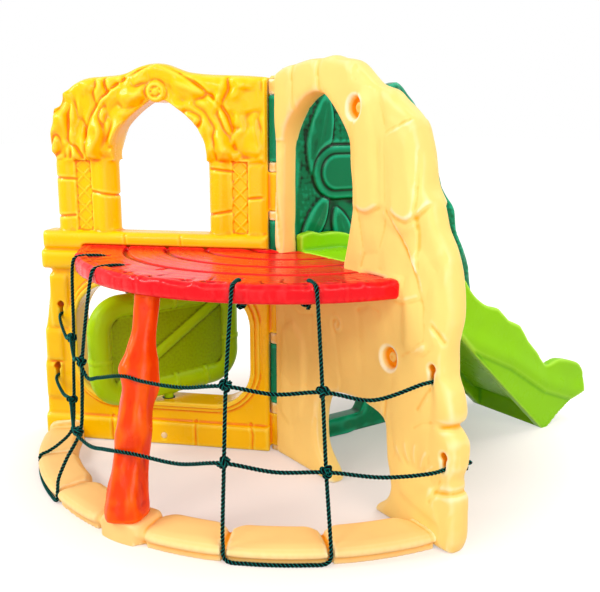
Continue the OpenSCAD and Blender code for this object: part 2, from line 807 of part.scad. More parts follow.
// Leaf wall: outline as shares of its length and height
leaf_shares = [[1, 0.05], [0.985, 0.19], [0.995, 0.31], [0.98, 0.42], [0.962, 0.475], [0.918, 0.53],
    [0.885, 0.57], [0.876, 0.615], [0.855, 0.65], [0.8, 0.7], [0.77, 0.77], [0.735, 0.83], [0.68, 0.87],
    [0.65, 0.93], [0.6, 0.965], [0.543, 1], [0.48, 0.985], [0.42, 0.998], [0.34, 0.97], [0.26, 0.985],
    [0.18, 0.965], [0.1, 0.978], [0.045, 0.96]];
leaf_foot_share = 0.98;
leaf_deck_share = 0.565;
leaf_size = [leaf_len, leaf_h];
function on_leaf(shares) = on_wall(shares, leaf_size, leaf_deck_share);
leaf_outline = concat(
    [[leaf_start, 0], [leaf_foot_share * leaf_len, 0]],
    smooth(on_leaf(leaf_shares), 2)
);
// Opening over the bar at the foot, as shares of its width and height
leaf_open_shares = [[0.9, 0], [1, 0.2], [0.97, 0.55], [0.8, 0.88], [0.5, 1], [0.2, 0.9], [0.03, 0.6],
    [0, 0.2], [0.1, 0]];
leaf_open_x = 95;
leaf_open_size = [leaf_open_w, leaf_open_h - leaf_bar_h];
leaf_opening = smooth(placed(leaf_open_shares, [leaf_open_x, leaf_bar_h], leaf_open_size), 2);
// Leaves in relief: place as shares of the wall, turn, length and width as shares of the height
leaf_places_shares = [
    [0.16, 0.86, 78, 0.22, 0.075], [0.33, 0.9, 125, 0.2, 0.07], [0.5, 0.9, 70, 0.17, 0.06],
    [0.63, 0.83, 130, 0.17, 0.06], [0.14, 0.63, 60, 0.16, 0.06], [0.27, 0.6, 110, 0.14, 0.055],
    [0.44, 0.61, 55, 0.18, 0.065], [0.63, 0.66, 100, 0.2, 0.07], [0.77, 0.57, 140, 0.18, 0.065],
    [0.83, 0.4, 115, 0.2, 0.07], [0.55, 0.45, 120, 0.22, 0.075], [0.68, 0.42, 65, 0.18, 0.065],
    [0.35, 0.44, 75, 0.19, 0.07], [0.16, 0.44, 100, 0.2, 0.07], [0.56, 0.24, 75, 0.22, 0.075],
    [0.73, 0.2, 100, 0.24, 0.08], [0.89, 0.18, 80, 0.22, 0.07]
];
leaf_relief = 6;
leaf_rib = 4;
leaf_rib_rise = 2;
leaf_rib_share = 0.86;
module relief_leaf(l, w) {
    plate(wall_t + 2 * leaf_relief) leaf_shape(l, w);
    plate(wall_t + 2 * (leaf_relief + leaf_rib_rise))
        square([leaf_rib_share * l, leaf_rib], center = true);
}
// Bare oval plate on the front
plaque_shares = [[0.3066, 0.759]];
plaque_size = [260, 146];
plaque_rise = 8;
plaque_step = 24;
module plaque() {
    place = on_leaf(plaque_shares)[0];
    translate([place.x, place.y, 0]) {
        linear_extrude(half_t + plaque_rise)
            rounded_square(plaque_size.x, plaque_size.y, plaque_size.y / 2 - gap);
        linear_extrude(half_t + plaque_rise + joint_depth)
            rounded_square(plaque_size.x - 2 * plaque_step, plaque_size.y - 2 * plaque_step,
                plaque_size.y / 2 - plaque_step - gap);
    }
}
module leaf_wall() {
    color("#0e6b3a")
        leaf_panel() difference() {
            union() {
                rounded_panel(leaf_outline, wall_t, wall_edge);
                for (s = leaf_places_shares)
                    translate(on_leaf([s])[0])
                        rotate(s[2]) relief_leaf(s[3] * leaf_h, s[4] * leaf_h);
                plaque();
                knuckles("leaf");
            }
            rounded_cut(leaf_opening, wall_t, opening_edge);
            rod_bore();
        }
}

// Platform: a slice of a tree trunk that fills the room between the two front walls
deck_sink = 4;
deck_floor = platform_top - deck_sink;
deck_rim = 30;
deck_edge = 26;
deck_ring_shares = [0.22, 0.397, 0.583, 0.77];
deck_ring_w = 14;
deck_ring_floor_w = 8;
deck_ring_depth = 5;
// Rope ways: angles about the front corner, how far inside the rim their holes lie, and the slots to the rim
rope_angles = [246.6, 268.2, 317.5, 338.6];
rope_run = 88;
rope_r = rope_d / 2;
rope_play = 1.5;
rope_hole_r = rope_r + rope_play;
rope_slot_w = rope_d + 2 * gap;
rope_slot_depth = rope_d;
rope_sink = rope_slot_depth - rope_r - fit;
rope_bend = 2 * rope_d;
rope_stand = rope_r + gap;
// Spare slot through the platform
spare_angle = 284;
spare_share = 0.645;
spare_reach = spare_share * platform_r;
spare_len = 44;
// Ledge behind the doorway that carries the slide's top
ledge_t = 20;
ledge_reach = 30;
ledge_end = half_t + ledge_reach;
// Peg at each end of the trunk post
peg_r = 16;
peg_h = 25;
// The post's foot on the ring and its top under the platform, at angles about their centres
post_foot_angle = -67.4;
post_top_angle = -71.4;
function round_place(centre, r, a, z) = [centre.x + r * cos(a), centre.y + r * sin(a), z];
function post_foot(z) = round_place(ring_centre, ring_r - post_foot_inset, post_foot_angle, z);
function post_top(z) = round_place(deck_centre, platform_r - post_top_inset, post_top_angle, z);

module deck_disc() {
    rotate_extrude($fn = 96) {
        square([platform_r - rim_round, platform_t]);
        translate([0, rim_round]) square([platform_r, platform_t - 2 * rim_round]);
        for (y = [rim_round, platform_t - rim_round])
            translate([platform_r - rim_round, y])
                intersection() {
                    circle(rim_round);
                    translate([0, -rim_round]) square([rim_round, 2 * rim_round]);
                }
    }
}
module door_tongue() {
    x0 = door_sides[len(door_sides) - 1].x + gap;
    x1 = door_sides[0].x - gap;
    translate([x0, -half_t - tongue_root, platform_bottom])
        cube([x1 - x0, wall_t + tongue_root, platform_t - deck_sink]);
    translate([x0, 0, platform_bottom])
        cube([x1 - x0, ledge_end, ledge_t]);
}
// Reach of a circle's edge from the front corner, at an angle
function edge_reach(centre, r, a) =
    let (d = centre - corner, k = d * [cos(a), sin(a)])
    k + sqrt(r * r - d * d + k * k);
function rim_reach(a) = edge_reach(deck_centre, platform_r, a);
function hole_reach(a) = rim_reach(a) - rope_run;
// Section of a rope way along its reach, with heights from the platform's top
module rope_way_section(rim) {
    turn = rope_sink + rope_bend;
    hole = rim - rope_run;
    translate([hole, -rope_slot_depth])
        square([rope_run, rope_slot_depth + over]);
    translate([hole - rope_stand, -turn - rope_r])
        square([rope_stand + rope_bend + over, turn + rope_r + over]);
    difference() {
        translate([rim + rope_stand - rope_bend, -turn]) square([rope_bend, turn + over]);
        translate([rim + rope_stand - rope_bend, -turn]) circle(rope_bend - rope_r - over);
    }
}
module rope_slots() {
    for (a = rope_angles)
        translate(polar([0, a, platform_top]))
            rotate([0, 0, a])
                translate([0, rope_slot_w / 2, 0])
                    rotate([90, 0, 0])
                        linear_extrude(rope_slot_w) rope_way_section(rim_reach(a));
}
module rope_holes() {
    for (a = rope_angles)
        translate(polar([hole_reach(a), a, platform_bottom - over]))
            cylinder(r = rope_hole_r, h = platform_t - rope_sink - rope_bend);
}
module spare_slot() {
    translate(polar([spare_reach, spare_angle, platform_bottom - over]))
        rotate([0, 0, spare_angle])
            linear_extrude(platform_t + 2 * over)
                rounded_square(spare_len, rope_slot_w, rope_slot_w / 2 - fit);
}
module ring_groove(r) {
    rotate_extrude($fn = 96)
        polygon([[r - deck_ring_w / 2, over], [r - deck_ring_floor_w / 2, -deck_ring_depth],
            [r + deck_ring_floor_w / 2, -deck_ring_depth], [r + deck_ring_w / 2, over]]);
}
module deck() {
    difference() {
        intersection() {
            translate([deck_centre.x, deck_centre.y, platform_bottom]) deck_disc();
            front_wedge(fit, fit, platform_bottom - over, platform_top + over);
        }
        intersection() {
            translate([deck_centre.x, deck_centre.y, deck_floor])
                cylinder(r = platform_r - deck_rim, h = deck_sink + over);
            front_wedge(deck_edge, -over, deck_floor - over, platform_top + 2 * over);
        }
        intersection() {
            translate([deck_centre.x, deck_centre.y, deck_floor])
                for (s = deck_ring_shares) ring_groove(s * platform_r);
            front_wedge(deck_edge, deck_edge, deck_floor - 2 * deck_ring_depth, platform_top);
        }
    }
}
module platform() {
    color("#e31b2d")
        difference() {
            union() {
                difference() {
                    deck();
                    rope_slots();
                    rope_holes();
                    spare_slot();
                }
                window_panel() window_tongues(0);
                rock_panel() rock_tongue(0);
                door_tongue();
            }
            translate(post_top(platform_bottom - over))
                cylinder(r = peg_r + fit, h = peg_h + over + gap);
            window_panel()
                for (x = window_tongue_bolts) bolt_bore(x, tongue_bolt_z, half_t, tongue_bolt_tip);
            rock_panel() bolt_bore(rock_tongue_bolt, tongue_bolt_z, half_t, tongue_bolt_tip);
            slide_screw_bores();
        }
}
module platform_bolts() {
    color("#4a4a4e") {
        window_panel() for (x = window_tongue_bolts) bolt(x, tongue_bolt_z, half_t, tongue_bolt_tip);
        rock_panel() bolt(rock_tongue_bolt, tongue_bolt_z, half_t, tongue_bolt_tip);
    }
}

// Trunk post: shares of its height, of its lean and of its radius there, from the foot up
trunk_shares = [[0, 0, 1.06], [0.03, 0.01, 1.112], [0.1, 0.04, 1.1], [0.21, 0.2, 1.018], [0.35, 0.36, 0.952],
    [0.535, 0.54, 0.994], [0.63, 0.62, 1.091], [0.68, 0.68, 1.144], [0.73, 0.74, 1.036], [0.8, 0.82, 0.918],
    [0.9, 0.92, 0.939], [1, 1, 1.024]];
trunk_sides = 20;
trunk_lobes = 5;
trunk_lobe_share = 0.06;
trunk_twist = 60;
trunk_low = ring_h + fit;
trunk_high = platform_bottom - fit;
function trunk_ring(s) =
    let (z = trunk_low + s[0] * (trunk_high - trunk_low),
        c = post_foot(z) + s[1] * (post_top(z) - post_foot(z)),
        r = s[2] * (post_foot_r + s[0] * (post_top_r - post_foot_r)))
    [for (i = [0:trunk_sides - 1])
        let (a = 360 * i / trunk_sides,
            lobe = 1 - trunk_lobe_share * (1 - cos(trunk_lobes * a + trunk_twist * s[0])))
        c + r * lobe * [cos(a), sin(a), 0]];
module trunk_post() {
    color("#ff6a00") {
        loft([for (s = trunk_shares) trunk_ring(s)]);
        translate(post_foot(trunk_low - peg_h))
            cylinder(r = peg_r, h = peg_h + over);
        translate(post_top(trunk_high - over))
            cylinder(r = peg_r, h = peg_h + over);
    }
}

// Stone ring on the floor: section as shares of its width and height, with room for a rope at its foot
ring_section_shares = [[0, 0], [0.9, 0], [0.9, 0.3], [0.975, 0.38], [1, 0.5], [0.985, 0.64], [0.92, 0.78],
    [0.78, 0.88], [0.4, 0.97], [0.17, 1], [0.05, 0.88], [0, 0.7]];
ring_foot_share = 0.9;
ring_foot_r = ring_r - (1 - ring_foot_share) * ring_w;
ring_joints = concat(rope_angles, [286, 299]);
ring_joint_play = 2.5;
ring_joint_w = rope_d + 2 * ring_joint_play;
ring_joint_depth = 9;
boss_foot_r = 60;
end_block_angles = [228, 236];
end_block_share = 1.22;
module ring_section(reach, rise) {
    polygon(placed(ring_section_shares, [ring_r - ring_w, 0], [ring_w * reach, ring_h * rise]));
}
module stone_ring() {
    color("#f3dd9b")
        difference() {
            union() {
                intersection() {
                    union() {
                        difference() {
                            ring_turn(360) ring_section(1, 1);
                            for (a = ring_joints) ring_joint(a);
                        }
                        ring_turn(360) ring_section(ring_foot_share, 1 - ring_joint_depth / ring_h);
                        rotate_about(ring_centre, end_block_angles[0])
                            ring_turn(end_block_angles[1] - end_block_angles[0])
                                ring_section(1, end_block_share);
                    }
                    front_wedge(step_rise + fit, fit, -over, 2 * ring_h);
                }
                translate(post_foot(0))
                    cylinder(r = boss_foot_r, h = ring_h);
            }
            translate(post_foot(ring_h - peg_h - gap))
                cylinder(r = peg_r + fit, h = peg_h + gap + over);
            window_panel() bolt_bore(ring_bolt_window, ring_bolt_z, step_t / 2, window_ring_tip);
            rock_panel() bolt_bore(ring_bolt_rock, ring_bolt_z, half_t, rock_ring_tip);
        }
}
module ring_turn(turn) {
    translate([ring_centre.x, ring_centre.y, 0])
        rotate_extrude(angle = turn, $fn = 96) children();
}
module rotate_about(c, turn) {
    translate([c.x, c.y, 0])
        rotate([0, 0, turn])
            translate([-c.x, -c.y, 0]) children();
}
// Joint across the ring, at an angle about the front corner
module ring_joint(a) {
    translate([corner.x, corner.y, -over])
        rotate([0, 0, a])
            translate([0, -ring_joint_w / 2, 0])
                cube([wedge_reach, ring_joint_w, 2 * ring_h]);
}
module ring_bolts() {
    color("#4a4a4e") {
        window_panel() bolt(ring_bolt_window, ring_bolt_z, step_t / 2, window_ring_tip);
        rock_panel() bolt(ring_bolt_rock, ring_bolt_z, half_t, rock_ring_tip);
    }
}

// Slide: the bed as points along y and z
slide_x = 42;
slide_start = half_t + gap;
slide_end = slide_start + slide_run;
bed_low_z = 112;
bed_bend = slide_start + slide_top_run;
bed_foot = bed_bend + (deck_floor - bed_low_z) / tan(slide_slope);
lip_shares = [[0.23, 0.75], [0.45, 0.696], [0.67, 0.768], [0.95, 0.929], [1, 0.955]];
bed_ease = 26;
bed_ease_share = 0.33;
bed_line = concat(
    [[slide_start, deck_floor], [bed_bend - bed_ease, deck_floor],
        [bed_bend + bed_ease / 2, deck_floor - bed_ease_share * bed_ease * tan(slide_slope)],
        [bed_bend + bed_ease, deck_floor - bed_ease * tan(slide_slope)], [bed_foot, bed_low_z]],
    placed(lip_shares, [bed_foot, 0], [slide_end - bed_foot, bed_low_z])
);
function bed_z(y) = lookup(y, bed_line);
// Thickness of the bed down to its foot, and from there thinning to the lip
bed_t = 34;
lip_t = 18;
function bed_under(y) =
    let (thin = 2 * max(0, y - bed_foot) / (slide_end - bed_foot))
    bed_z(y) - max(lip_t, bed_t - thin * (bed_t - lip_t));
// Side rails: shares of the slide's length and of the rail's greatest height
rail_shares = [[0, 0.27], [0.042, 0.325], [0.076, 0.27], [0.114, 0.287], [0.17, 0.275], [0.225, 0.375],
    [0.29, 0.53], [0.343, 0.656], [0.384, 0.72], [0.424, 0.625], [0.444, 0.606], [0.483, 0.644],
    [0.52, 0.75], [0.553, 0.863], [0.6, 0.856], [0.655, 1], [0.698, 0.894], [0.745, 0.881], [0.79, 0.72],
    [0.827, 0.81], [0.867, 0.856], [0.932, 0.69], [0.972, 0.52], [0.995, 0.3]];
rail_line = smooth([for (s = rail_shares)
    let (y = slide_start + s[0] * slide_run) [y, bed_z(y) + s[1] * rail_h]], 2);
// Lower edge of the rails: down the slope to the foot, and on to the lip as shares of that way
foot_back = 38;
foot_w = 28;
foot_bar_h = 56;
foot_end = bed_foot + foot_back + foot_w;
rail_drop = 66;
rail_mid_share = 0.42;
rail_mid = bed_bend + rail_mid_share * (bed_foot - bed_bend);
rail_top_drop = 6;
rail_lip_shares = [[0.304, 0.339], [0.619, 0.589], [1, 0.786]];
rail_under = concat(
    [[slide_start, platform_bottom - over], [bed_bend - bed_ease / 2, platform_bottom - rail_top_drop],
        [rail_mid, bed_z(rail_mid) - rail_drop], [foot_end - foot_w, 0], [foot_end, 0]],
    placed(rail_lip_shares, [foot_end, 0], [slide_end - foot_end, bed_low_z])
);
module along_x(x, t) {
    translate([x, 0, 0])
        rotate([90, 0, 90])
            linear_extrude(t) children();
}
slide_screw_shares = [0.22, 0.78];
screw_r = 3;
screw_head_r = 7;
screw_head_h = 5;
screw_bite = 16;
module slide() {
    color("#a6dc35")
        difference() {
            union() {
                for (x = [slide_x, slide_x + slide_w - rail_t])
                    along_x(x, rail_t)
                        polygon(concat(rail_under, backwards(rail_line)));
                along_x(slide_x + over, slide_w - 2 * over)
                    polygon(concat(bed_line, [for (p = backwards(bed_line)) [p.x, bed_under(p.x)]]));
                along_x(slide_x + over, slide_w - 2 * over)
                    translate([foot_end - foot_w, 0]) square([foot_w, foot_bar_h]);
            }
            translate([slide_x - over, slide_start - over, platform_bottom - over])
                cube([slide_w + 2 * over, ledge_end - slide_start + over + gap, ledge_t + over + fit]);
            slide_screw_bores();
        }
}
module slide_screw_bores() {
    for (s = slide_screw_shares)
        translate([slide_x + s * slide_w, half_t + ledge_reach / 2, platform_bottom - over])
            cylinder(r = screw_r + fit, h = ledge_t + screw_bite + over + gap);
}
module slide_screws() {
    color("#8a8d92")
        for (s = slide_screw_shares)
            translate([slide_x + s * slide_w, half_t + ledge_reach / 2, platform_bottom - screw_head_h]) {
                cylinder(r1 = screw_head_r - gap, r2 = screw_head_r, h = screw_head_h);
                cylinder(r = screw_r, h = screw_head_h + ledge_t + screw_bite);
            }
}

// Gate: a frame of bamboo round a panel, turning on two upright pivots
gate_half = [gate_open_w / 2 - gate_gap - bamboo_r, gate_open_h / 2 - gate_gap - bamboo_r];
gate_corner = gate_open_r - gate_gap - bamboo_r;
gate_pivot = gate_mid * window_along;
node_rise = 2.5;
node_h = 9;
cane_r = 23;
cane_share = 0.86;
gate_long_shares = [-0.75, 0.1, 0.8];
gate_side_shares = [-0.3];
module cane(r, from, to) {
    d = to - from;
    translate([from.x, from.y, 0])
        rotate([0, 0, atan2(d.y, d.x)])
            rotate([0, 90, 0])
                cylinder(r = r, h = norm(d));
}
module gate_frame() {
    a = gate_half.x - gate_corner;
    b = gate_half.y - gate_corner;
    for (s = [-1, 1]) {
        cane(bamboo_r, [-a, s * gate_half.y], [a, s * gate_half.y]);
        cane(bamboo_r, [s * gate_half.x, -b], [s * gate_half.x, b]);
        for (k = gate_long_shares) {
            p = [k * a, s * gate_half.y];
            cane(bamboo_r + node_rise, p - [node_h / 2, 0], p + [node_h / 2, 0]);
        }
        for (k = gate_side_shares) {
            p = [s * gate_half.x, k * b];
            cane(bamboo_r + node_rise, p - [0, node_h / 2], p + [0, node_h / 2]);
        }
    }
    for (q = [[1, 1, 0], [-1, 1, 90], [-1, -1, 180], [1, -1, 270]])
        translate([q[0] * a, q[1] * b, 0])
            rotate([0, 0, q[2]])
                rotate_extrude(angle = 90)
                    translate([gate_corner, 0]) circle(bamboo_r);
}
module gate_pivots() {
    low = gate_open_h / 2 + bush_h - bush_floor - fit;
    for (s = [-1, 1])
        translate([0, s < 0 ? -low : gate_half.y, 0])
            rotate([-90, 0, 0])
                cylinder(r = pivot_r, h = low - gate_half.y);
}
module gate() {
    reach = cane_share * gate_half;
    color("#b3cf1a")
        translate([gate_pivot.x, gate_pivot.y, gate_mid_z])
            rotate([0, 0, 180 - fold_angle + gate_turn])
                rotate([90, 0, 0]) {
                    gate_frame();
                    plate(gate_panel_t) rounded_square(2 * gate_half.x, 2 * gate_half.y, gate_corner);
                    cane(cane_r, [-reach.x, -reach.y], reach);
                    gate_pivots();
                }
}

// Rope: a round tube along points, its rings carried on from one point to the next
rope_sides = 8;
rope_side = [1, 2, 0.5];
function tangents(p) = [
    for (i = [0:len(p) - 1]) unit(p[min(i + 1, len(p) - 1)] - p[max(i - 1, 0)])
];
function carried(t, n) =
    len(n) == len(t) ? n
    : let (v = n[len(n) - 1], d = t[len(n)])
    carried(t, concat(n, [unit(v - d * (v * d))]));
module rope(p) {
    t = tangents(p);
    n = carried(t, [unit(cross(t[0], rope_side))]);
    loft([
        for (i = [0:len(p) - 1])
            [for (k = [0:rope_sides - 1])
                let (a = 360 * k / rope_sides)
                p[i] + rope_r * (cos(a) * n[i] + sin(a) * cross(t[i], n[i]))]
    ]);
}
function floor_reach(a) = edge_reach(ring_centre, ring_foot_r + rope_r + gap, a);

// A net rope at the platform: up its hole, round into the slot, and over the rim
rope_turns = [0, 45, 90];
rope_tail = 11;
function rope_top(a) =
    let (low = platform_top - rope_sink - rope_bend, rim = rim_reach(a) + rope_stand - rope_bend)
    concat(
        [[hole_reach(a), a, platform_bottom - rope_tail]],
        [for (t = rope_turns) [hole_reach(a) + rope_bend * (1 - cos(t)), a, low + rope_bend * sin(t)]],
        [for (t = rope_turns) [rim + rope_bend * sin(t), a, low + rope_bend * cos(t)]]
    );
// Its fall, as reach and height, down to the ring's outer edge
falls = [
    [[545.5, 374], [551, 280], [555, 195], [566, 108], [600, 72], [630, 52]],
    [[550, 367], [556, 263], [566, 180], [606, 113], [628, 66]],
    [[575, 392], [606, 228], [634, 60]],
    [[572, 374], [607, 203], [641, 84]]
];
// The ring's outer edge, and the run between two ropes as shares of their angle, with rises off the floor
foot_steps = [[-1.5, 40], [0, 22.8]];
floor_run = [[0.0217, 5.3], [0.0745, 0], [0.2, 0], [0.32, 0], [0.44, 0], [0.56, 0], [0.68, 0], [0.8, 0],
    [0.9255, 0], [0.9783, 5.3]];
function rope_fall(i) =
    let (a = rope_angles[i])
    concat(
        rope_top(a),
        [for (p = falls[i]) [p.x, a, p.y]],
        [for (s = foot_steps) [floor_reach(a) + s.x, a, s.y]]
    );
function backwards(p) = [for (i = [len(p) - 1:-1:0]) p[i]];
function net_rope(i, j) =
    let (a = rope_angles[i], b = rope_angles[j])
    [for (p = concat(
        rope_fall(i),
        [for (s = floor_run) let (c = a + s.x * (b - a)) [floor_reach(c), c, rope_r + fit + s.y]],
        backwards(rope_fall(j))
    )) polar(p)];
module rope_left() {
    color("#12352c") rope(net_rope(0, 1));
}
module rope_right() {
    color("#12352c") rope(net_rope(2, 3));
}
// Cross ropes: from a knot behind the window wall, over the four falls, to a knot behind the rock wall
upper_points = [[-494, -426.6, 386.5], [-455, -465, 386.5], [-430, -491, 386.5], [-318, -514, 347],
    [-207.8, -539.3, 374], [-105, -566, 345], [-5, -589.1, 367], [37.3, -583, 332], [92, -577, 345.8],
    [191.7, -551.8, 371.5], [242.1, -525.6, 367.1], [339.5, -477.1, 370.5], [441.9, -426.9, 392],
    [500, -335, 372], [553.2, -243.4, 374], [606, -146, 352], [661, -50, 386], [663, -20, 386.5],
    [663, 40.4, 386.5]];
lower_points = [[-510.2, -443, 195.5], [-472, -481, 195.5], [-445, -508, 195.5], [-330, -530, 180],
    [-211.9, -547.9, 195], [-110, -578, 176], [-5.5, -606.9, 180], [77.2, -601.5, 172.2], [164.4, -598.5, 192.7],
    [226.7, -590.4, 207.1], [267.4, -564.9, 208], [367.6, -505.1, 206.1], [466.2, -445.7, 228],
    [527, -352, 206], [586.4, -254.8, 203], [650, -150, 188], [707, -56, 195], [709, -25, 195.5],
    [709, 40.4, 195.5]];
module rope_upper() {
    color("#12352c") rope(upper_points);
}
module rope_lower() {
    color("#12352c") rope(lower_points);
}
// Knots: three rounds close together
knot_r = 8.5;
knot_step = 6;
module knot() {
    sphere(knot_r);
    for (s = [-1, 1])
        translate([s * knot_step / 2, s * knot_step / 3, s * knot_step]) sphere(knot_r - gap);
}
net_knot_falls = [[0, 0], [0, 2], [1, 0], [1, 2], [2, 0], [2, 1], [3, 0], [3, 1]];
module net_knots() {
    color("#0f2b25")
        for (k = net_knot_falls) {
            p = falls[k[0]][k[1]];
            translate(polar([p.x + rope_r, rope_angles[k[0]], p.y])) knot();
        }
}
module wall_knots() {
    color("#0f2b25") {
        for (p = [upper_points[0], lower_points[0], upper_points[len(upper_points) - 1],
                lower_points[len(lower_points) - 1]])
            translate(p) knot();
    }
}
module deck_knots() {
    color("#0f2b25")
        for (a = rope_angles)
            translate(polar([hole_reach(a), a, platform_bottom - knot_r - knot_step + gap - fit])) knot();
}

window_wall();
rock_wall();
leaf_wall();
hinge_rod();
rod_cap();
platform();
platform_bolts();
trunk_post();
stone_ring();
ring_bolts();
slide();
slide_screws();
gate();
gate_bushes();
rope_left();
rope_right();
rope_upper();
rope_lower();
net_knots();
wall_knots();
deck_knots();
drain_plug();
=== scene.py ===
import itertools
import math

import bmesh
import bpy
import numpy as np
from mathutils import Matrix, Vector


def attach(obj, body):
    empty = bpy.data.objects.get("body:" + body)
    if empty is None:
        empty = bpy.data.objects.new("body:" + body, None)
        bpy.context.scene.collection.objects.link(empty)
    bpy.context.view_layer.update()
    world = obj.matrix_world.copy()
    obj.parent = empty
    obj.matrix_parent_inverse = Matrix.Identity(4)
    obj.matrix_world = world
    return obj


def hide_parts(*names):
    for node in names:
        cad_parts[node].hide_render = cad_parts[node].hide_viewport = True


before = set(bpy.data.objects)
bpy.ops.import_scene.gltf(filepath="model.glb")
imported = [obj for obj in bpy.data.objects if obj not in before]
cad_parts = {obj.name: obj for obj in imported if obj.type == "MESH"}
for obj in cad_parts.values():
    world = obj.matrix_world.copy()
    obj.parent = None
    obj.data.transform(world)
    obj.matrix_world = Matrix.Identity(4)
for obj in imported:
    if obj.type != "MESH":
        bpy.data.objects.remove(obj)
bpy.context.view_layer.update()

MM = 0.001
scene = bpy.context.scene

# Main sizes of the part in millimetres, as in its source: the walls, the deck, the ring and the net
HALF_T = 30.0
FOLD = math.radians(135)
ALONG = np.array([math.cos(FOLD), -math.sin(FOLD), 0.0])
FRONT = np.array([math.sin(FOLD), math.cos(FOLD), 0.0])
CORNER = np.array([12.4264, -HALF_T])
DECK_CENTRE = np.array([-34.0, 51.0])
DECK_R = 592.0
DECK_TOP = 600.0
DECK_T = 47.0
RING_CENTRE = np.array([-33.0, 77.0])
RING_R = 746.0
RING_W = 110.0
RING_FOOT_SHARE = 0.9
ROPE_ANGLES = [246.6, 268.2, 317.5, 338.6]

# Camera at the photograph's viewing angle: place in metres, angles in degrees, lens in millimetres
CAMERA_PLACE = (1.9347, -1.2498, 0.9552)
CAMERA_TILT = 77.87
CAMERA_TURN = 55.6
CAMERA_LENS = 49.55


def add_camera():
    data = bpy.data.cameras.new("camera")
    data.lens = CAMERA_LENS
    cam = bpy.data.objects.new("camera", data)
    cam.location = CAMERA_PLACE
    cam.rotation_euler = (math.radians(CAMERA_TILT), 0.0, math.radians(CAMERA_TURN))
    scene.collection.objects.link(cam)
    scene.camera = cam


# Small numeric helpers. A band is a pair of values, and what changes across it does so smoothly
HASH_FACTORS = (374761393, 668265263, 2147483647, 974634541)
HASH_MIX = 1274126177
HASH_SHIFTS = (13, 16)
WORD = 0xFFFFFFFF
HALF_WORD = 0xFFFF
CELL_JITTER = 0.7
FAR = 1e9
CURVE_PARTS = 40
LEAST_POINTS = 8


def rise(x, band):
    """0 below the band and 1 above it."""
    low, high = band
    t = np.clip((x - low) / (high - low), 0.0, 1.0)
    return t * t * (3 - 2 * t)


def fall(x, band):
    """1 below the band and 0 above it."""
    return 1 - rise(x, band)


def hill(x, width):
    """1 where x is 0, falling off on both sides over about that width."""
    return np.exp(-((x / width) ** 2))


def dome(r, edge):
    """1 at the middle of a round form, falling to 0 at its edge."""
    return 1 - np.clip(r / edge, 0, 1) ** 2


def distance(a, b, place):
    return np.hypot(a - place[0], b - place[1])


def clear_of(a, b, places, band):
    """0 near the places and 1 beyond the band round them."""
    return np.prod([rise(distance(a, b, place), band) for place in places], axis=0)


def hashed(i, j, k, seed):
    """A fixed number from 0 to 1 for each whole-number place."""
    h = sum(value * factor for value, factor in zip((i, j, k, seed), HASH_FACTORS)) & WORD
    h = ((h ^ (h >> HASH_SHIFTS[0])) * HASH_MIX) & WORD
    return ((h ^ (h >> HASH_SHIFTS[1])) & HALF_WORD) / HALF_WORD


def noise(p, size, seed):
    """Smooth noise from -1 to 1 over points p, with lumps of that size."""
    q = np.asarray(p) / size
    base = np.floor(q).astype(np.int64)
    f = q - base
    f = f * f * (3 - 2 * f)
    total = 0.0
    for corner in itertools.product((0, 1), repeat=3):
        side = np.where(corner, f, 1 - f)
        total = total + side[:, 0] * side[:, 1] * side[:, 2] * hashed(*(base + corner).T, seed)
    return 2 * total - 1


def lumps(p, layers, seed=0):
    """Sum of layers of noise, each a height, the size of its lumps and its own seed."""
    return sum(height * noise(p, size, seed + own) for height, size, own in layers)


def cells(a, b, size_a, size_b, seed):
    """Uneven cells: distance to the nearest centre, room to the next cell, place in it, and its number."""
    q = np.stack([a / size_a, b / size_b], axis=1)
    base = np.floor(q).astype(np.int64)
    first = np.full(len(q), FAR)
    second = np.full(len(q), FAR)
    place = np.zeros_like(q)
    number = np.zeros(len(q))
    for i, j in itertools.product((-1, 0, 1), repeat=2):
        ci = base[:, 0] + i
        cj = base[:, 1] + j
        jitter = CELL_JITTER * (np.stack([hashed(ci, cj, k, seed) for k in (1, 2)], axis=1) - 0.5)
        off = q - (np.stack([ci, cj], axis=1) + 0.5 + jitter)
        dist = np.linalg.norm(off, axis=1)
        nearer = dist < first
        second = np.where(nearer, first, np.minimum(second, dist))
        place[nearer] = off[nearer]
        number[nearer] = hashed(ci, cj, 3, seed)[nearer]
        first = np.where(nearer, dist, first)
    return first, second - first, place, number


def groove(x, y, points, width):
    """1 along a line through the points, falling to 0 at the given half width."""
    best = np.full(len(x), FAR)
    for (x0, y0), (x1, y1) in zip(points[:-1], points[1:]):
        dx = x1 - x0
        dy = y1 - y0
        t = np.clip(((x - x0) * dx + (y - y0) * dy) / (dx * dx + dy * dy), 0, 1)
        best = np.minimum(best, np.hypot(x - x0 - t * dx, y - y0 - t * dy))
    return fall(best, (0, width))


def grooves(x, y, lines, width, depth):
    return depth * np.clip(sum(groove(x, y, line, width) for line in lines), 0, 1)


def between(t, start, end, first, last):
    """A mix of two points, by where t lies from start to end."""
    return ((end - t) * first + (t - start) * last) / (end - start)


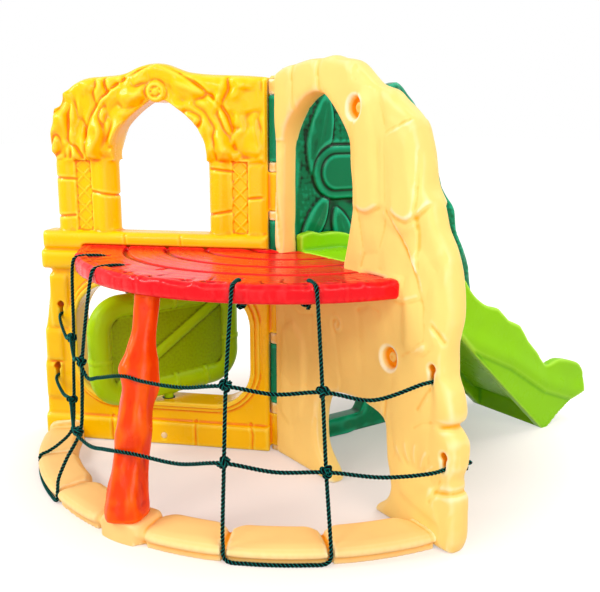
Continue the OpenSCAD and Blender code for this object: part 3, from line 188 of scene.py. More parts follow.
def curve_through(points, step):
    """Even points along a smooth curve through the given ones."""
    p = np.array(points, float)
    p = np.vstack([2 * p[0] - p[1], p, 2 * p[-1] - p[-2]])
    dense = []
    for i in range(1, len(p) - 2):
        knots = np.cumsum([0] + [np.linalg.norm(p[i + k] - p[i + k - 1]) ** 0.5 for k in range(3)])
        t = np.linspace(knots[1], knots[2], CURVE_PARTS, endpoint=False)[:, None]
        a = [between(t, knots[k], knots[k + 1], p[i + k - 1], p[i + k]) for k in range(3)]
        b = [between(t, knots[k], knots[k + 2], a[k], a[k + 1]) for k in range(2)]
        dense.append(between(t, knots[1], knots[2], *b))
    dense = np.vstack(dense + [p[-2:-1]])
    along = lengths_along(dense)
    even = np.linspace(0, along[-1], max(int(along[-1] / step), LEAST_POINTS))
    return np.stack([np.interp(even, along, dense[:, k]) for k in range(3)], axis=1)


def lengths_along(line):
    """Length of the line up to each of its points."""
    return np.concatenate([[0], np.cumsum(np.linalg.norm(np.diff(line, axis=0), axis=1))])


def outward(p, centre):
    """Distance of points from an upright axis, and their direction away from it."""
    d = p[:, :2] - centre
    r = np.hypot(d[:, 0], d[:, 1])
    away = d / np.maximum(r, 1)[:, None]
    return r, np.concatenate([away, np.zeros((len(p), 1))], axis=1)


def turn_about_corner(p):
    """Angle of points about the walls' front corner, seen from above, in degrees."""
    return np.degrees(np.arctan2(p[:, 1] - CORNER[1], p[:, 0] - CORNER[0])) % 360


# Moulded pieces: a node's solid copied, rounded as a mould rounds it, then worked in relief.
# Each has a voxel in millimetres and the rounds of smoothing that even out its mesh
MESHING = {
    "window_wall": (3.5, 1),
    "rock_wall": (3.8, 2),
    "leaf_wall": (3.8, 1),
    "platform": (3.6, 2),
    "trunk_post": (3.6, 4),
    "stone_ring": (3.6, 3),
    "slide": (4.2, 6),
    "gate": (3.0, 1),
}
WELD = 1e-5
PULL = 0.5
BLUR_ROUNDS = 2
BLUR_KEEP = 0.4


def new_object(name, mesh):
    obj = bpy.data.objects.new(name, mesh)
    scene.collection.objects.link(obj)
    return obj


def moulded_mesh(piece):
    """The piece's solid as an even mesh with softened edges."""
    voxel, rounds = MESHING[piece]
    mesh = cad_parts[piece].data.copy()
    mesh.materials.clear()
    bm = bmesh.new()
    bm.from_mesh(mesh)
    bmesh.ops.remove_doubles(bm, verts=bm.verts, dist=WELD)
    bm.to_mesh(mesh)
    bm.free()
    obj = new_object("rough_" + piece, mesh)
    remesh = obj.modifiers.new("remesh", "REMESH")
    remesh.mode = "VOXEL"
    remesh.voxel_size = voxel * MM
    soft = obj.modifiers.new("soft", "SMOOTH")
    soft.factor = PULL
    soft.iterations = rounds
    out = bpy.data.meshes.new_from_object(obj.evaluated_get(bpy.context.evaluated_depsgraph_get()))
    bpy.data.objects.remove(obj)
    return out


def points_of(mesh):
    co = np.empty(len(mesh.vertices) * 3)
    mesh.vertices.foreach_get("co", co)
    return co.reshape(-1, 3) / MM


def normals_of(mesh):
    no = np.empty(len(mesh.vertices) * 3)
    mesh.vertex_normals.foreach_get("vector", no)
    return no.reshape(-1, 3)


def set_points(mesh, points):
    mesh.vertices.foreach_set("co", (points * MM).ravel())
    mesh.update()


def set_values(mesh, name, values):
    layer = mesh.attributes.new(name, "FLOAT", "POINT")
    layer.data.foreach_set("value", values.astype(np.float32))


def smooth_faces(mesh):
    mesh.polygons.foreach_set("use_smooth", np.ones(len(mesh.polygons), bool))


def neighbours(mesh):
    """A function that gives each point the mean of a value over the points joined to it."""
    edges = np.empty(len(mesh.edges) * 2, np.int64)
    mesh.edges.foreach_get("vertices", edges)
    edges = edges.reshape(-1, 2)
    both = np.concatenate([edges, edges[:, ::-1]])
    count = np.maximum(np.bincount(both[:, 0], minlength=len(mesh.vertices)), 1)

    def spread(v):
        return np.bincount(both[:, 0], v[both[:, 1]], minlength=len(count)) / count

    return spread


def mean_places(spread, p):
    return np.stack([spread(p[:, k]) for k in range(3)], axis=1)


def soften(mesh, rounds, share):
    """Round the mesh off as a thick skin is, by a share from 0 to 1 at each point."""
    spread = neighbours(mesh)
    p = points_of(mesh)
    pull = (PULL * share)[:, None]
    for _ in range(rounds):
        p += pull * (mean_places(spread, p) - p)
    set_points(mesh, p)


def hollowness(mesh):
    """Above 0 for points in a hollow and below 0 on ridges, to paint shade into grooves and a highlight
    onto ridges.
    """
    spread = neighbours(mesh)
    p = points_of(mesh)
    out = ((mean_places(spread, p) - p) * normals_of(mesh)).sum(1)
    for _ in range(BLUR_ROUNDS):
        out = BLUR_KEEP * out + (1 - BLUR_KEEP) * spread(out)
    return out


def finish_moulded(piece, mesh, material, body="gym", painted_shade=0.0):
    """Put the worked mesh in the piece's place. Painted shade, from 0 to 1, gives points the painted shade
    colour of grooves.
    """
    set_values(mesh, "hollow", hollowness(mesh) + painted_shade)
    mesh.materials.append(material)
    smooth_faces(mesh)
    obj = new_object(piece + "_moulding", mesh)
    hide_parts(piece)
    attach(obj, body)


# Shader helpers
def shader(name):
    mat = bpy.data.materials.new(name)
    mat.use_nodes = True
    tree = mat.node_tree
    return mat, tree, tree.nodes["Principled BSDF"]


def node(tree, kind, **values):
    n = tree.nodes.new(kind)
    for key, value in values.items():
        if key in n.inputs:
            n.inputs[key].default_value = value
        else:
            setattr(n, key, value)
    return n


def ranged(tree, source, span, target):
    """A value's span stretched to the target span."""
    n = node(tree, "ShaderNodeMapRange")
    for key, value in zip(("From Min", "From Max", "To Min", "To Max"), (*span, *target)):
        n.inputs[key].default_value = value
    tree.links.new(source, n.inputs["Value"])
    return n.outputs["Result"]


def ramp(tree, source, stops, interpolation="LINEAR"):
    """Colours along a value, from stops that each have a position and a colour."""
    n = node(tree, "ShaderNodeValToRGB")
    n.color_ramp.interpolation = interpolation
    elements = n.color_ramp.elements
    first, *middle, last = stops
    for element, (position, colour) in zip(elements, (first, last)):
        element.position = position
        element.color = (*colour, 1)
    for position, colour in middle:
        elements.new(position).color = (*colour, 1)
    tree.links.new(source, n.inputs["Fac"])
    return n.outputs["Color"]


def speckle(tree, **values):
    """Noise over the object's own coordinates."""
    place = node(tree, "ShaderNodeTexCoord")
    texture = node(tree, "ShaderNodeTexNoise", **values)
    tree.links.new(place.outputs["Object"], texture.inputs["Vector"])
    return texture.outputs["Fac"]


def roughen(tree, bsdf, source, strength, depth):
    bump = node(tree, "ShaderNodeBump", Strength=strength, Distance=depth)
    tree.links.new(source, bump.inputs["Height"])
    tree.links.new(bump.outputs["Normal"], bsdf.inputs["Normal"])


# Materials: positions of a plastic's colours from painted ridge highlight to painted groove shade, its
# clouds, dull patches and grain
STOPS = (0.1, 0.42, 0.56, 0.9)
CLOUD = {"Scale": 5.0, "Detail": 4.0, "Roughness": 0.6}
CLOUD_SPAN = (0.3, 0.7)
MOTTLE = 0.05
DULL = {"Scale": 14.0, "Detail": 5.0, "Roughness": 0.65}
DULL_SPAN = (0.3, 0.75)
POLISH = 0.06
WEAR = 0.14
GRAIN = {"Detail": 3.0, "Roughness": 0.55}
GRAIN_STRENGTH = 0.12
GRAIN_DEPTH = 0.001


def plastic(name, base, sunk, ridge_highlight, rough, grain=220.0, span=0.5, specular=0.12):
    """Moulded plastic with fine grain and dull patches: painted shade in its grooves and a painted
    highlight on its ridges.
    """
    mat, tree, bsdf = shader(name)
    link = tree.links.new
    # The hollow attribute paints shade into grooves and a highlight onto ridges; span sets the hollowness
    # that gives the full painted colour
    hollow = node(tree, "ShaderNodeAttribute", attribute_name="hollow")
    depth = ranged(tree, hollow.outputs["Fac"], (-span, span), (0.0, 1.0))
    stops = list(zip(STOPS, (ridge_highlight, base, base, sunk)))
    tone = node(tree, "ShaderNodeHueSaturation")
    link(ramp(tree, depth, stops), tone.inputs["Color"])
    link(ranged(tree, speckle(tree, **CLOUD), CLOUD_SPAN, (1 - MOTTLE, 1 + MOTTLE)), tone.inputs["Value"])
    link(tone.outputs["Color"], bsdf.inputs["Base Color"])
    dull = ranged(tree, speckle(tree, **DULL), DULL_SPAN, (rough - POLISH, rough + WEAR))
    link(dull, bsdf.inputs["Roughness"])
    roughen(tree, bsdf, speckle(tree, Scale=grain, **GRAIN), GRAIN_STRENGTH, GRAIN_DEPTH)
    bsdf.inputs["Specular IOR Level"].default_value = specular
    return mat


# Metal: the detail of its marks, how dark they are, and how much smoother or duller they make it
MARK_DETAIL = 4.0
MARK_SHADE = 0.7
MARK_POLISH = 0.1
MARK_WEAR = 0.15


def metal(name, base, rough, streak):
    """Plated metal with fine turning marks and dull spots."""
    mat, tree, bsdf = shader(name)
    marks = speckle(tree, Scale=streak, Detail=MARK_DETAIL)
    shade = tuple(MARK_SHADE * c for c in base)
    dull = ranged(tree, marks, (0.0, 1.0), (rough - MARK_POLISH, rough + MARK_WEAR))
    tree.links.new(ramp(tree, marks, [(0.0, shade), (1.0, base)]), bsdf.inputs["Base Color"])
    tree.links.new(dull, bsdf.inputs["Roughness"])
    bsdf.inputs["Metallic"].default_value = 1.0
    return mat


# Rope: its painted shade between the strands and painted teal highlight on their crowns, and its fibres
ROPE_STOPS = [(0.62, (0.0002, 0.001, 0.0015)), (1.0, (0.004, 0.30, 0.25))]
CROWN_SPAN = (0.8, 1.0)
FIBRE = {"Scale": 700.0, "Detail": 3.0}
FIBRE_SHARE = 0.3
FIBRE_STRENGTH = 0.5
FIBRE_DEPTH = 0.0006
ROPE_ROUGH = 0.45
ROPE_SPECULAR = 0.06


def rope_fibre():
    """Laid synthetic rope: painted shade, black, between the strands, and a painted teal highlight on their
    crowns.
    """
    mat, tree, bsdf = shader("rope_fibre")
    link = tree.links.new
    crown = node(tree, "ShaderNodeAttribute", attribute_name="crown")
    fine = speckle(tree, **FIBRE)
    both = node(tree, "ShaderNodeMath", operation="MULTIPLY_ADD")
    link(fine, both.inputs[0])
    both.inputs[1].default_value = FIBRE_SHARE
    link(ranged(tree, crown.outputs["Fac"], CROWN_SPAN, (0.0, 1.0)), both.inputs[2])
    link(ramp(tree, both.outputs[0], ROPE_STOPS, "EASE"), bsdf.inputs["Base Color"])
    roughen(tree, bsdf, fine, FIBRE_STRENGTH, FIBRE_DEPTH)
    bsdf.inputs["Roughness"].default_value = ROPE_ROUGH
    bsdf.inputs["Specular IOR Level"].default_value = ROPE_SPECULAR
    return mat


# Each plastic's colour on its flats, with painted shade for its grooves and a painted highlight for its
# ridges
YELLOW = plastic(
    "window_yellow", (1.0, 0.57, 0.0005), (0.92, 0.25, 0.0005), (1.0, 0.72, 0.05),
    rough=0.2, span=0.36, specular=0.22,
)
CREAM = plastic(
    "rock_cream", (1.0, 0.69, 0.20), (0.98, 0.38, 0.008), (1.0, 0.90, 0.58), rough=0.36, grain=160.0,
)
STONE = plastic(
    "ring_cream", (1.0, 0.62, 0.22), (0.97, 0.40, 0.02), (1.0, 0.80, 0.42), rough=0.45, grain=160.0,
)
GREEN = plastic(
    "leaf_green", (0.0005, 0.19, 0.075), (0.0003, 0.025, 0.006), (0.01, 0.42, 0.22),
    rough=0.2, span=0.22, specular=0.17,
)
RED = plastic(
    "deck_red", (0.78, 0.0015, 0.008), (0.42, 0.0005, 0.003), (0.95, 0.02, 0.02),
    rough=0.19, span=0.4, specular=0.18,
)
ORANGE = plastic(
    "trunk_orange", (0.82, 0.042, 0.0002), (0.45, 0.003, 0.0002), (0.98, 0.11, 0.002),
    rough=0.18, span=0.16, specular=0.15,
)
LIME = plastic("slide_lime", (0.31, 0.72, 0.004), (0.14, 0.48, 0.002), (0.48, 0.90, 0.06), rough=0.26)
BAMBOO = plastic("gate_lime", (0.41, 0.68, 0.004), (0.12, 0.16, 0.0005), (0.52, 0.80, 0.02), rough=0.28)
DARK_PLASTIC = plastic(
    "bush_dark", (0.03, 0.03, 0.032), (0.015, 0.015, 0.016), (0.06, 0.06, 0.062), rough=0.5,
)
IVORY = plastic("plug_ivory", (0.86, 0.70, 0.40), (0.6, 0.4, 0.15), (0.9, 0.8, 0.55), rough=0.45)
ROPE = rope_fibre()
STEEL = metal("rod_steel", base=(0.62, 0.62, 0.64), rough=0.32, streak=40.0)
DARK_METAL = metal("bolt_dark", base=(0.09, 0.09, 0.1), rough=0.42, streak=90.0)

# Relief of a wall: where each point lies on it, which face it is on, and moving it out of that face
FLAT_BAND = (0.3, 0.75)
FORE_BAND = (0.0, 0.3)
HINGE_KEEP = (34, 56)


class Face:
    def __init__(self, mesh, along, front):
        self.mesh = mesh
        self.p = points_of(mesh)
        self.front = np.asarray(front, float)
        self.u = self.p @ np.asarray(along, float)
        self.z = self.p[:, 2]
        out = normals_of(mesh) @ self.front
        self.side = np.sign(out)
        self.flat = rise(np.abs(out), FLAT_BAND)
        self.fore = rise(out, FORE_BAND)

    def raise_by(self, height):
        set_points(self.mesh, self.p + (self.side * self.flat * height)[:, None] * self.front)


# Window wall, its roof: leaves as layers of noise that sway, swell and wave
LEAF_SWAY = [(20, 66, 0), (8, 30, 1)]
LEAF_SWELL = (31, 2)
LEAF_WAVES = [(3.5, 19, 3)]
LEAF_STRETCH = 1.9
LEAF_SLANT = 0.8
LEAF_RISE = 25
LEAF_CREASE = 0.002
LEAF_SINK = 8
# The band of leaves round the arch, and the leaves that hang beside it. Places are along the wall and up,
# and the groove beside the band and the ridge along the eaves have a place, a width and a height
WINDOW_MID = 330
SPRING = 866.2
ARCH_FOOT = 213
ARCH_RISE = 237.8
ARCH_POWER = 2.7
ARCH_REACH = 185
ARCH_DROP = 12
MIRROR = 400
BAND_SEED = 3
BAND_EDGE = (-3, 8)
BAND_RISE = 4
BAND_GROOVE = (3, 6, 6)
BAND_GROOVE_FOOT = (-20, 10)
SIDE_SEED = 8
SIDE_LEAN = 0.2
EAVE = (868, 18, 5)
ROOF_TOP = (1040, 1085)
TOP_CALM = 0.8
LABEL = (82, 1004)
LABEL_HALF = (54, 30)
LABEL_EDGE = (0.8, 1.3)
LABEL_CALM = 0.85


def foliage(p, along, across, seed):
    """Soft wavy leaves, full in the middle, creased where they meet, hanging down the first direction."""
    sway = lumps(p, LEAF_SWAY, seed)
    leaf = np.stack([along / LEAF_STRETCH + sway, across - LEAF_SLANT * sway, np.zeros(len(p))], axis=1)
    size, own = LEAF_SWELL
    full = noise(leaf, size, seed + own)
    return LEAF_RISE * np.sqrt(full * full + LEAF_CREASE) + lumps(leaf, LEAF_WAVES, seed) - LEAF_SINK


def thatch(face):
    """Roof leaves, round the arch and down both sides, calm at the top and the label's bare place."""
    x = face.u - WINDOW_MID
    across = np.abs(x)
    y = face.z - SPRING
    up = np.maximum(y, 0) - ARCH_DROP
    mirrored = np.where(x > 0, MIRROR, 0.0)
    outer = ARCH_FOOT * (1 - np.clip(y / ARCH_RISE, 0, 1) ** ARCH_POWER)
    band = rise(outer - across, BAND_EDGE)
    round_arch = np.arctan2(up, across) * ARCH_REACH + mirrored
    leaves = band * foliage(face.p, round_arch, np.hypot(across, up), BAND_SEED)
    leaves += (1 - band) * foliage(face.p, face.z + SIDE_LEAN * across, across + mirrored, SIDE_SEED)
    from_label = np.hypot((face.u - LABEL[0]) / LABEL_HALF[0], (face.z - LABEL[1]) / LABEL_HALF[1])
    calm = (1 - TOP_CALM * rise(face.z, ROOF_TOP)) * (1 - LABEL_CALM * fall(from_label, LABEL_EDGE))
    level, width, height = EAVE
    relief = leaves * calm + BAND_RISE * band + height * hill(face.z - level, width)
    off, width, depth = BAND_GROOVE
    return relief - depth * hill(across - outer - off, width) * rise(y, BAND_GROOVE_FOOT)


# Window wall, below the roof: crossed strips in the panels between the columns
LATTICE = [(78, 122.7), (539.3, 584.1)]
LATTICE_FOOT = 641
LATTICE_HEAD = 839
LATTICE_OFF = 24
LATTICE_BASE = 637
LATTICE_PITCH = 46
STRIP_EDGE = (1.0, 4.5)
STRIP_RISE = 1.8
# Joints of its stones, as lines, with the half width and depth of their cuts
COLUMN_JOINTS = [
    [(586, 787), (648, 790)], [(592, 683), (654, 678)], [(462, 740), (538, 752)], [(120, 812), (184, 819)],
    [(120, 704), (190, 691)], [(36, 742), (78, 738)],
]
COLUMN_CUT = (6.5, 5)
STEP_JOINTS = [[(245, -5), (245, 78)], [(73, -5), (70, 50), (78, 80)], [(505, -5), (505, 78)]]
STEP_CUT = (8, 4)
SILL_JOINTS = (272, 437)
SILL_CUT = (3.5, 3)
SILL_JOINT_LEAN = 0.1
SILL_JOINT_MID = 610
SILL_JOINT_FOOT = (585, 592)
# Bands that bound its roof, columns, side stones, sill, boss and keyholes, and how much each is rounded
HINGE_EDGE = (24, 46)
ROOF_FOOT = (838, 852)
ROOF_CUT = 846
ROOF_EDGE_Z = [850, 909, 960, 996, 1030, 1057, 1072]
ROOF_EDGE_U = [660, 660, 647, 628, 604, 576, 540]
ROOF_EDGE_PULL = 0.92
ROOF_END = (575, 605)
ROOF_ROUNDS = 26
ROOF_END_ROUNDS = 60
LEAF_ROUNDS = 3
COLUMN_FOOT = (640, 648)
COLUMN_HEAD = (834, 842)
STONE_SIDE = (585, 625)
STONE_HEAD = (600, 640)
STONE_ROUNDS = 12
SILL_FOOT = (500, 520)
SILL_SHARE = 0.7
BOSSES = [(WINDOW_MID, 1028)]
BOSS_KEEP = (30, 44)
KEYHOLES = [(651, 417), (674, 226)]
KEYHOLE_KEEP = (16, 34)
# Painted shade inside the keyholes: the band it fills and its share
KEYHOLE_DARK = (11, 15)
KEYHOLE_SHADE = 0.4
WINDOW_LUMPS = [(0.8, 60, 4)]


def lattice_line(u, z, mid):
    """1 on the strips."""
    line = 0.0
    for lean in (-1, 1):
        k = (z - LATTICE_BASE + lean * (u - mid)) / LATTICE_PITCH - 0.5
        off = np.abs(k - np.round(k)) * LATTICE_PITCH * math.sqrt(0.5)
        line = np.maximum(line, fall(off, STRIP_EDGE))
    return line


def window_wall():
    mesh = moulded_mesh("window_wall")
    p = points_of(mesh)
    u = p @ ALONG
    z = p[:, 2]
    hinge = rise(u, HINGE_EDGE)
    roof = rise(z, ROOF_FOOT) * hinge
    thatched = roof * clear_of(u, z, BOSSES, BOSS_KEEP)
    columns = rise(z, COLUMN_FOOT) * fall(z, COLUMN_HEAD) * hinge
    stones = rise(u, STONE_SIDE) * fall(z, STONE_HEAD) * clear_of(u, z, KEYHOLES, KEYHOLE_KEEP)
    sill = rise(z, SILL_FOOT) * fall(z, COLUMN_FOOT) * hinge
    beyond = np.maximum(u - np.interp(z, ROOF_EDGE_Z, ROOF_EDGE_U), 0) * (z > ROOF_CUT)
    set_points(mesh, p - (ROOF_EDGE_PULL * beyond)[:, None] * ALONG)
    soften(mesh, ROOF_ROUNDS, thatched)
    soften(mesh, ROOF_END_ROUNDS, roof * rise(u, ROOF_END))
    soften(mesh, STONE_ROUNDS, np.clip(columns + stones + SILL_SHARE * sill, 0, 1))
    face = Face(mesh, ALONG, FRONT)
    u = face.u
    z = face.z
    relief = thatch(face) * thatched + lumps(face.p, WINDOW_LUMPS) * (1 - roof)
    on_sill = rise(z, SILL_JOINT_FOOT) * (z < COLUMN_FOOT[0])
    width, depth = SILL_CUT
    for place in SILL_JOINTS:
        relief -= depth * hill(u - place - SILL_JOINT_LEAN * (z - SILL_JOINT_MID), width) * on_sill
    face.raise_by(relief)
    soften(mesh, LEAF_ROUNDS, thatched)
    p = points_of(mesh)
    cut = grooves(u, z, COLUMN_JOINTS, *COLUMN_CUT)
    p -= normals_of(mesh) * (cut * columns)[:, None]
    cut = grooves(u, z, STEP_JOINTS, *STEP_CUT)
    p -= (face.side * cut * face.flat)[:, None] * FRONT
    off = p @ FRONT
    for low, high in LATTICE:
        inside = (u > low) & (u < high) & (z > LATTICE_FOOT) & (z < LATTICE_HEAD)
        level = np.sign(off) * (LATTICE_OFF + STRIP_RISE * lattice_line(u, z, (low + high) / 2))
        p += np.where(inside, level - off, 0.0)[:, None] * FRONT
    set_points(mesh, p)
    # Painted shade inside the keyholes
    painted_shade = KEYHOLE_SHADE * (1 - clear_of(u, z, KEYHOLES, KEYHOLE_DARK))
    finish_moulded("window_wall", mesh, YELLOW, painted_shade=painted_shade)


# Rock wall, its places along it and up. Creases: their line, half width and depth
ROCK_CREASES = [
    ([(614, 265), (640, 284), (665, 293), (695, 298), (725, 297)], 9, 2),
    ([(661, 372), (645, 350), (622, 312)], 10, 3),
    ([(703, 168), (694, 145), (678, 110)], 10, 3),
    ([(664, 515), (680, 500), (694, 483)], 7, 5),
    ([(510, 310), (507, 262)], 9, 3.5),
    ([(655, 640), (640, 560), (652, 480)], 22, 2),
    ([(90, 470), (150, 440), (210, 452)], 10, 1.5),
    ([(70, 260), (120, 235), (180, 250)], 10, 1.5),
    ([(400, 500), (440, 520), (480, 512)], 14, 2),
]
# Lower edges of its slabs: their line and how proud they stand
ROCK_LIPS = [
    ([(382, 746), (430, 738), (478, 757)], 5),
    ([(527, 746), (555, 736), (581, 733), (615, 752), (652, 790)], 7),
    ([(500, 560), (560, 548), (620, 566)], 4),
    ([(60, 880), (90, 862), (120, 872)], 3),
]
LIP_STEP = 4
LIP_OUTSIDE = 20
LIP_INSIDE = 10
LIP_ROUND = (0, 9)
LIP_BACK = 70
LIP_UNDER = 14
LIP_SINK = 0.25


def lip(x, z, points):
    """Lower edge of a slab along a line: proud above it, falling back higher up, and sunk just below."""
    line = curve_through([(px, pz, 0.0) for px, pz in points], LIP_STEP)
    first = line[0, 0]
    last = line[-1, 0]
    ends = rise(x, (first - LIP_OUTSIDE, first + LIP_INSIDE))
    ends *= fall(x, (last - LIP_INSIDE, last + LIP_OUTSIDE))
    above = z - np.interp(x, line[:, 0], line[:, 1])
    proud = np.exp(-above / LIP_BACK) * rise(above, LIP_ROUND)
    sunk = LIP_SINK * np.exp(above / LIP_UNDER)
    return ends * np.where(above > 0, proud, -sunk)


# Its fossil. A sway has a height and a period
SHELL = (318, 447)
SHELL_R = 27
SHELL_PITCH = 3.6
SHELL_RISE = 1.7
RIPPLES = (385, 440)
RIPPLES_HALF = (48, 13)
RIPPLES_LEAN = 0.25
RIPPLE_SLANT = 0.35
RIPPLE_SWAY = (10, 38)
RIPPLE_PITCH = 3.4
RIPPLE_RISE = 0.8


def fossil(x, z):
    """A coiled shell in low relief with ripples beside it."""
    r = distance(x, z, SHELL)
    coil = np.sin(np.arctan2(z - SHELL[1], x - SHELL[0]) - r / SHELL_PITCH) * np.exp(-((r / SHELL_R) ** 4))
    height, period = RIPPLE_SWAY
    ripple = np.sin((z + RIPPLE_SLANT * x + height * np.sin(x / period)) / RIPPLE_PITCH)
    dx = x - RIPPLES[0]
    dz = z - RIPPLES[1] + RIPPLES_LEAN * dx
    beside = hill(dx, RIPPLES_HALF[0]) * hill(dz, RIPPLES_HALF[1])
    return SHELL_RISE * coil + RIPPLE_RISE * ripple * beside


# Its tuft, with bands of distance from the root and of direction
TUFT_ROOT = (622, 128)
TUFT_RISE = 2.6
TUFT_FOOT = (44, 58)
TUFT_TIP = (92, 112)
TUFT_RIGHT = (0.55, 0.8)
TUFT_LEFT = (2.3, 2.6)
BLADES = 17
BLADE_SWAY = (0.8, 16)
BLADE_POWER = 1.5


def tuft(x, z):
    """Blades of grass in low relief, fanned from a root."""
    r = distance(x, z, TUFT_ROOT)
    fan = np.arctan2(z - TUFT_ROOT[1], x - TUFT_ROOT[0])
    height, period = BLADE_SWAY
    blades = np.clip(np.sin(fan * BLADES + height * np.sin(r / period)), 0, 1) ** BLADE_POWER
    spread = rise(r, TUFT_FOOT) * fall(r, TUFT_TIP) * rise(fan, TUFT_RIGHT) * fall(fan, TUFT_LEFT)
    return TUFT_RISE * blades * spread


# Its round dimples: distances from the middle, and how far the floor there lies from the wall's mid-plane
TIES = [(376, 981), (518, 407)]
TIE_R = [0.0, 12.5, 14.5, 22, 28]
TIE_OFF = [18.5, 18.5, 6.5, 6.5, 31]
TIE_INNER = -0.3
TIE_SKIN = 2.5


def open_ties(mesh):
    """Press the mesh in the round dimples down to their floor, and inward faces a little lower."""
    p = points_of(mesh)
    side = np.sign(p[:, 1])
    inner = normals_of(mesh)[:, 1] * side < TIE_INNER
    for place in TIES:
        r = distance(p[:, 0], p[:, 2], place)
        level = np.interp(r, TIE_R, TIE_OFF) - np.where(inner, TIE_SKIN, 0.0)
        p[:, 1] = np.where(r < TIE_R[-1], side * np.minimum(np.abs(p[:, 1]), level), p[:, 1])
    set_points(mesh, p)


# Its facets, holes, doorway, deck's place, outer edge and notches
FACET_SIZE = (118, 300)
FACET_SLANT = (0.12, -0.2)
FACET_SEED = 21
FACET_STEP = 8
FACET_TILT = 9
FACET_SEAM = 2.6
FACET_SEAM_W = (0.0, 0.3)
FACET_LOW = 0.35
FACET_FROM = (520, 640)
ROCK_LUMPS = [(2.4, 120, 5), (0.8, 46, 6)]
ROCK_HOLES = [(663, 417), (709, 226), *TIES]
HOLE_ROUND = (32, 58)
HOLE_KEEP = (28, 52)
# Painted shade inside the ties and keyholes: the band it fills, how far below the face it starts, and its
# share
HOLE_DARK = (20, 28)
HOLE_SUNK = (2, 8)
HOLE_SHADE = 0.5
ROCK_HINGE = (30, 56)
ROCK_FOOT = (4, 20)
DOOR_FOOT = (606, 640)
DOOR_HEAD = (1040, 1070)
DOOR_SIDE = (380, 430)
DECK_UNDER = (540, 553)
DECK_OVER = (600, 612)
DECK_SIDE = (550, 570)
ROCK_ROUNDS = 24
DOOR_ROUNDS = 40
ROCK_LAST_ROUNDS = 3
EDGE_TURN = (0.2, 0.6)
EDGE_FROM = (560, 640)
EDGE_LEAN = 0.25
EDGE_LUMPS = [(5, 62, 9)]
NOTCHES = (295, 143)
NOTCH_FROM = (676, 704)
NOTCH_X = 720
NOTCH_LEAN = 0.2
NOTCH_W = 7
NOTCH_DEPTH = 7


def rock_facets(x, z):
    """Tall facets that step and tilt, with seams between them."""
    slant_x, slant_z = FACET_SLANT
    _, room, place, number = cells(x + slant_x * z, z + slant_z * x, *FACET_SIZE, FACET_SEED)
    return (FACET_STEP + FACET_TILT * place[:, 0]) * (number - 0.5) - FACET_SEAM * fall(room, FACET_SEAM_W)


def rock_wall():
    mesh = moulded_mesh("rock_wall")
    open_ties(mesh)
    p = points_of(mesh)
    x = p[:, 0]
    z = p[:, 2]
    keep = rise(x, ROCK_HINGE) * rise(z, ROCK_FOOT) * clear_of(x, z, ROCK_HOLES, HOLE_ROUND)
    door = rise(z, DOOR_FOOT) * fall(z, DOOR_HEAD) * fall(x, DOOR_SIDE)
    soften(mesh, ROCK_ROUNDS, keep)
    soften(mesh, DOOR_ROUNDS, keep * door)
    face = Face(mesh, (1, 0, 0), (0, -1, 0))
    x = face.u
    z = face.z
    off_deck = 1 - rise(z, DECK_UNDER) * fall(z, DECK_OVER) * fall(x, DECK_SIDE)
    relief = rock_facets(x, z) * (FACET_LOW + (1 - FACET_LOW) * rise(z, FACET_FROM)) * off_deck
    relief += lumps(face.p, ROCK_LUMPS) + fossil(x, z) + tuft(x, z)
    for points, height in ROCK_LIPS:
        relief += height * lip(x, z, points)
    for points, width, depth in ROCK_CREASES:
        relief -= depth * groove(x, z, points, width)
    face.raise_by(relief * clear_of(x, z, ROCK_HOLES, HOLE_KEEP))
    p = points_of(mesh)
    n = normals_of(mesh)
    edge = rise(n[:, 0], EDGE_TURN) * rise(p[:, 0] + EDGE_LEAN * p[:, 2], EDGE_FROM)
    p[:, 0] += edge * lumps(p, EDGE_LUMPS)
    for level in NOTCHES:
        off = p[:, 2] - level - NOTCH_LEAN * (p[:, 0] - NOTCH_X)
        p -= n * (NOTCH_DEPTH * hill(off, NOTCH_W) * rise(p[:, 0], NOTCH_FROM))[:, None]
    set_points(mesh, p)
    soften(mesh, ROCK_LAST_ROUNDS, rise(p[:, 0], HINGE_KEEP))
    # Painted shade inside the sunk ties and keyholes
    in_holes = 1 - clear_of(p[:, 0], p[:, 2], ROCK_HOLES, HOLE_DARK)
    painted_shade = HOLE_SHADE * rise(HALF_T - np.abs(p[:, 1]), HOLE_SUNK) * in_holes
    finish_moulded("rock_wall", mesh, CREAM, painted_shade=painted_shade)


# Leaf wall: its bare plaque, by its middle, half its straight length and its end radius, and the grooves
# round it, by their distance out from its edge and their width
PLAQUE = (232, 806)
PLAQUE_HALF = 58
PLAQUE_R = 76
PLAQUE_EDGE = (0, 12)
PLAQUE_GROOVES = [(2, 4), (-24, 3.5)]
PLAQUE_CUT = 3
# The ground between its leaves, with patches of pebbles, and the leaves' own swell
LEAF_OFF = (31, 34.5)
LEAF_PROUD = 5
LEAF_LUMPS = [(8, 75, 35), (2, 34, 37)]
LEAF_WALL_FROM = (44, 60)
LEAF_WALL_ROUNDS = 9
LEAF_LAST_ROUNDS = 2
PEBBLE = 12
PEBBLE_SEED = 33
PEBBLE_EDGE = 0.7
PEBBLE_RISE = 1.7
PATCHES = [(1.0, 150, 36)]
PATCH_EDGE = (-0.2, 0.0)


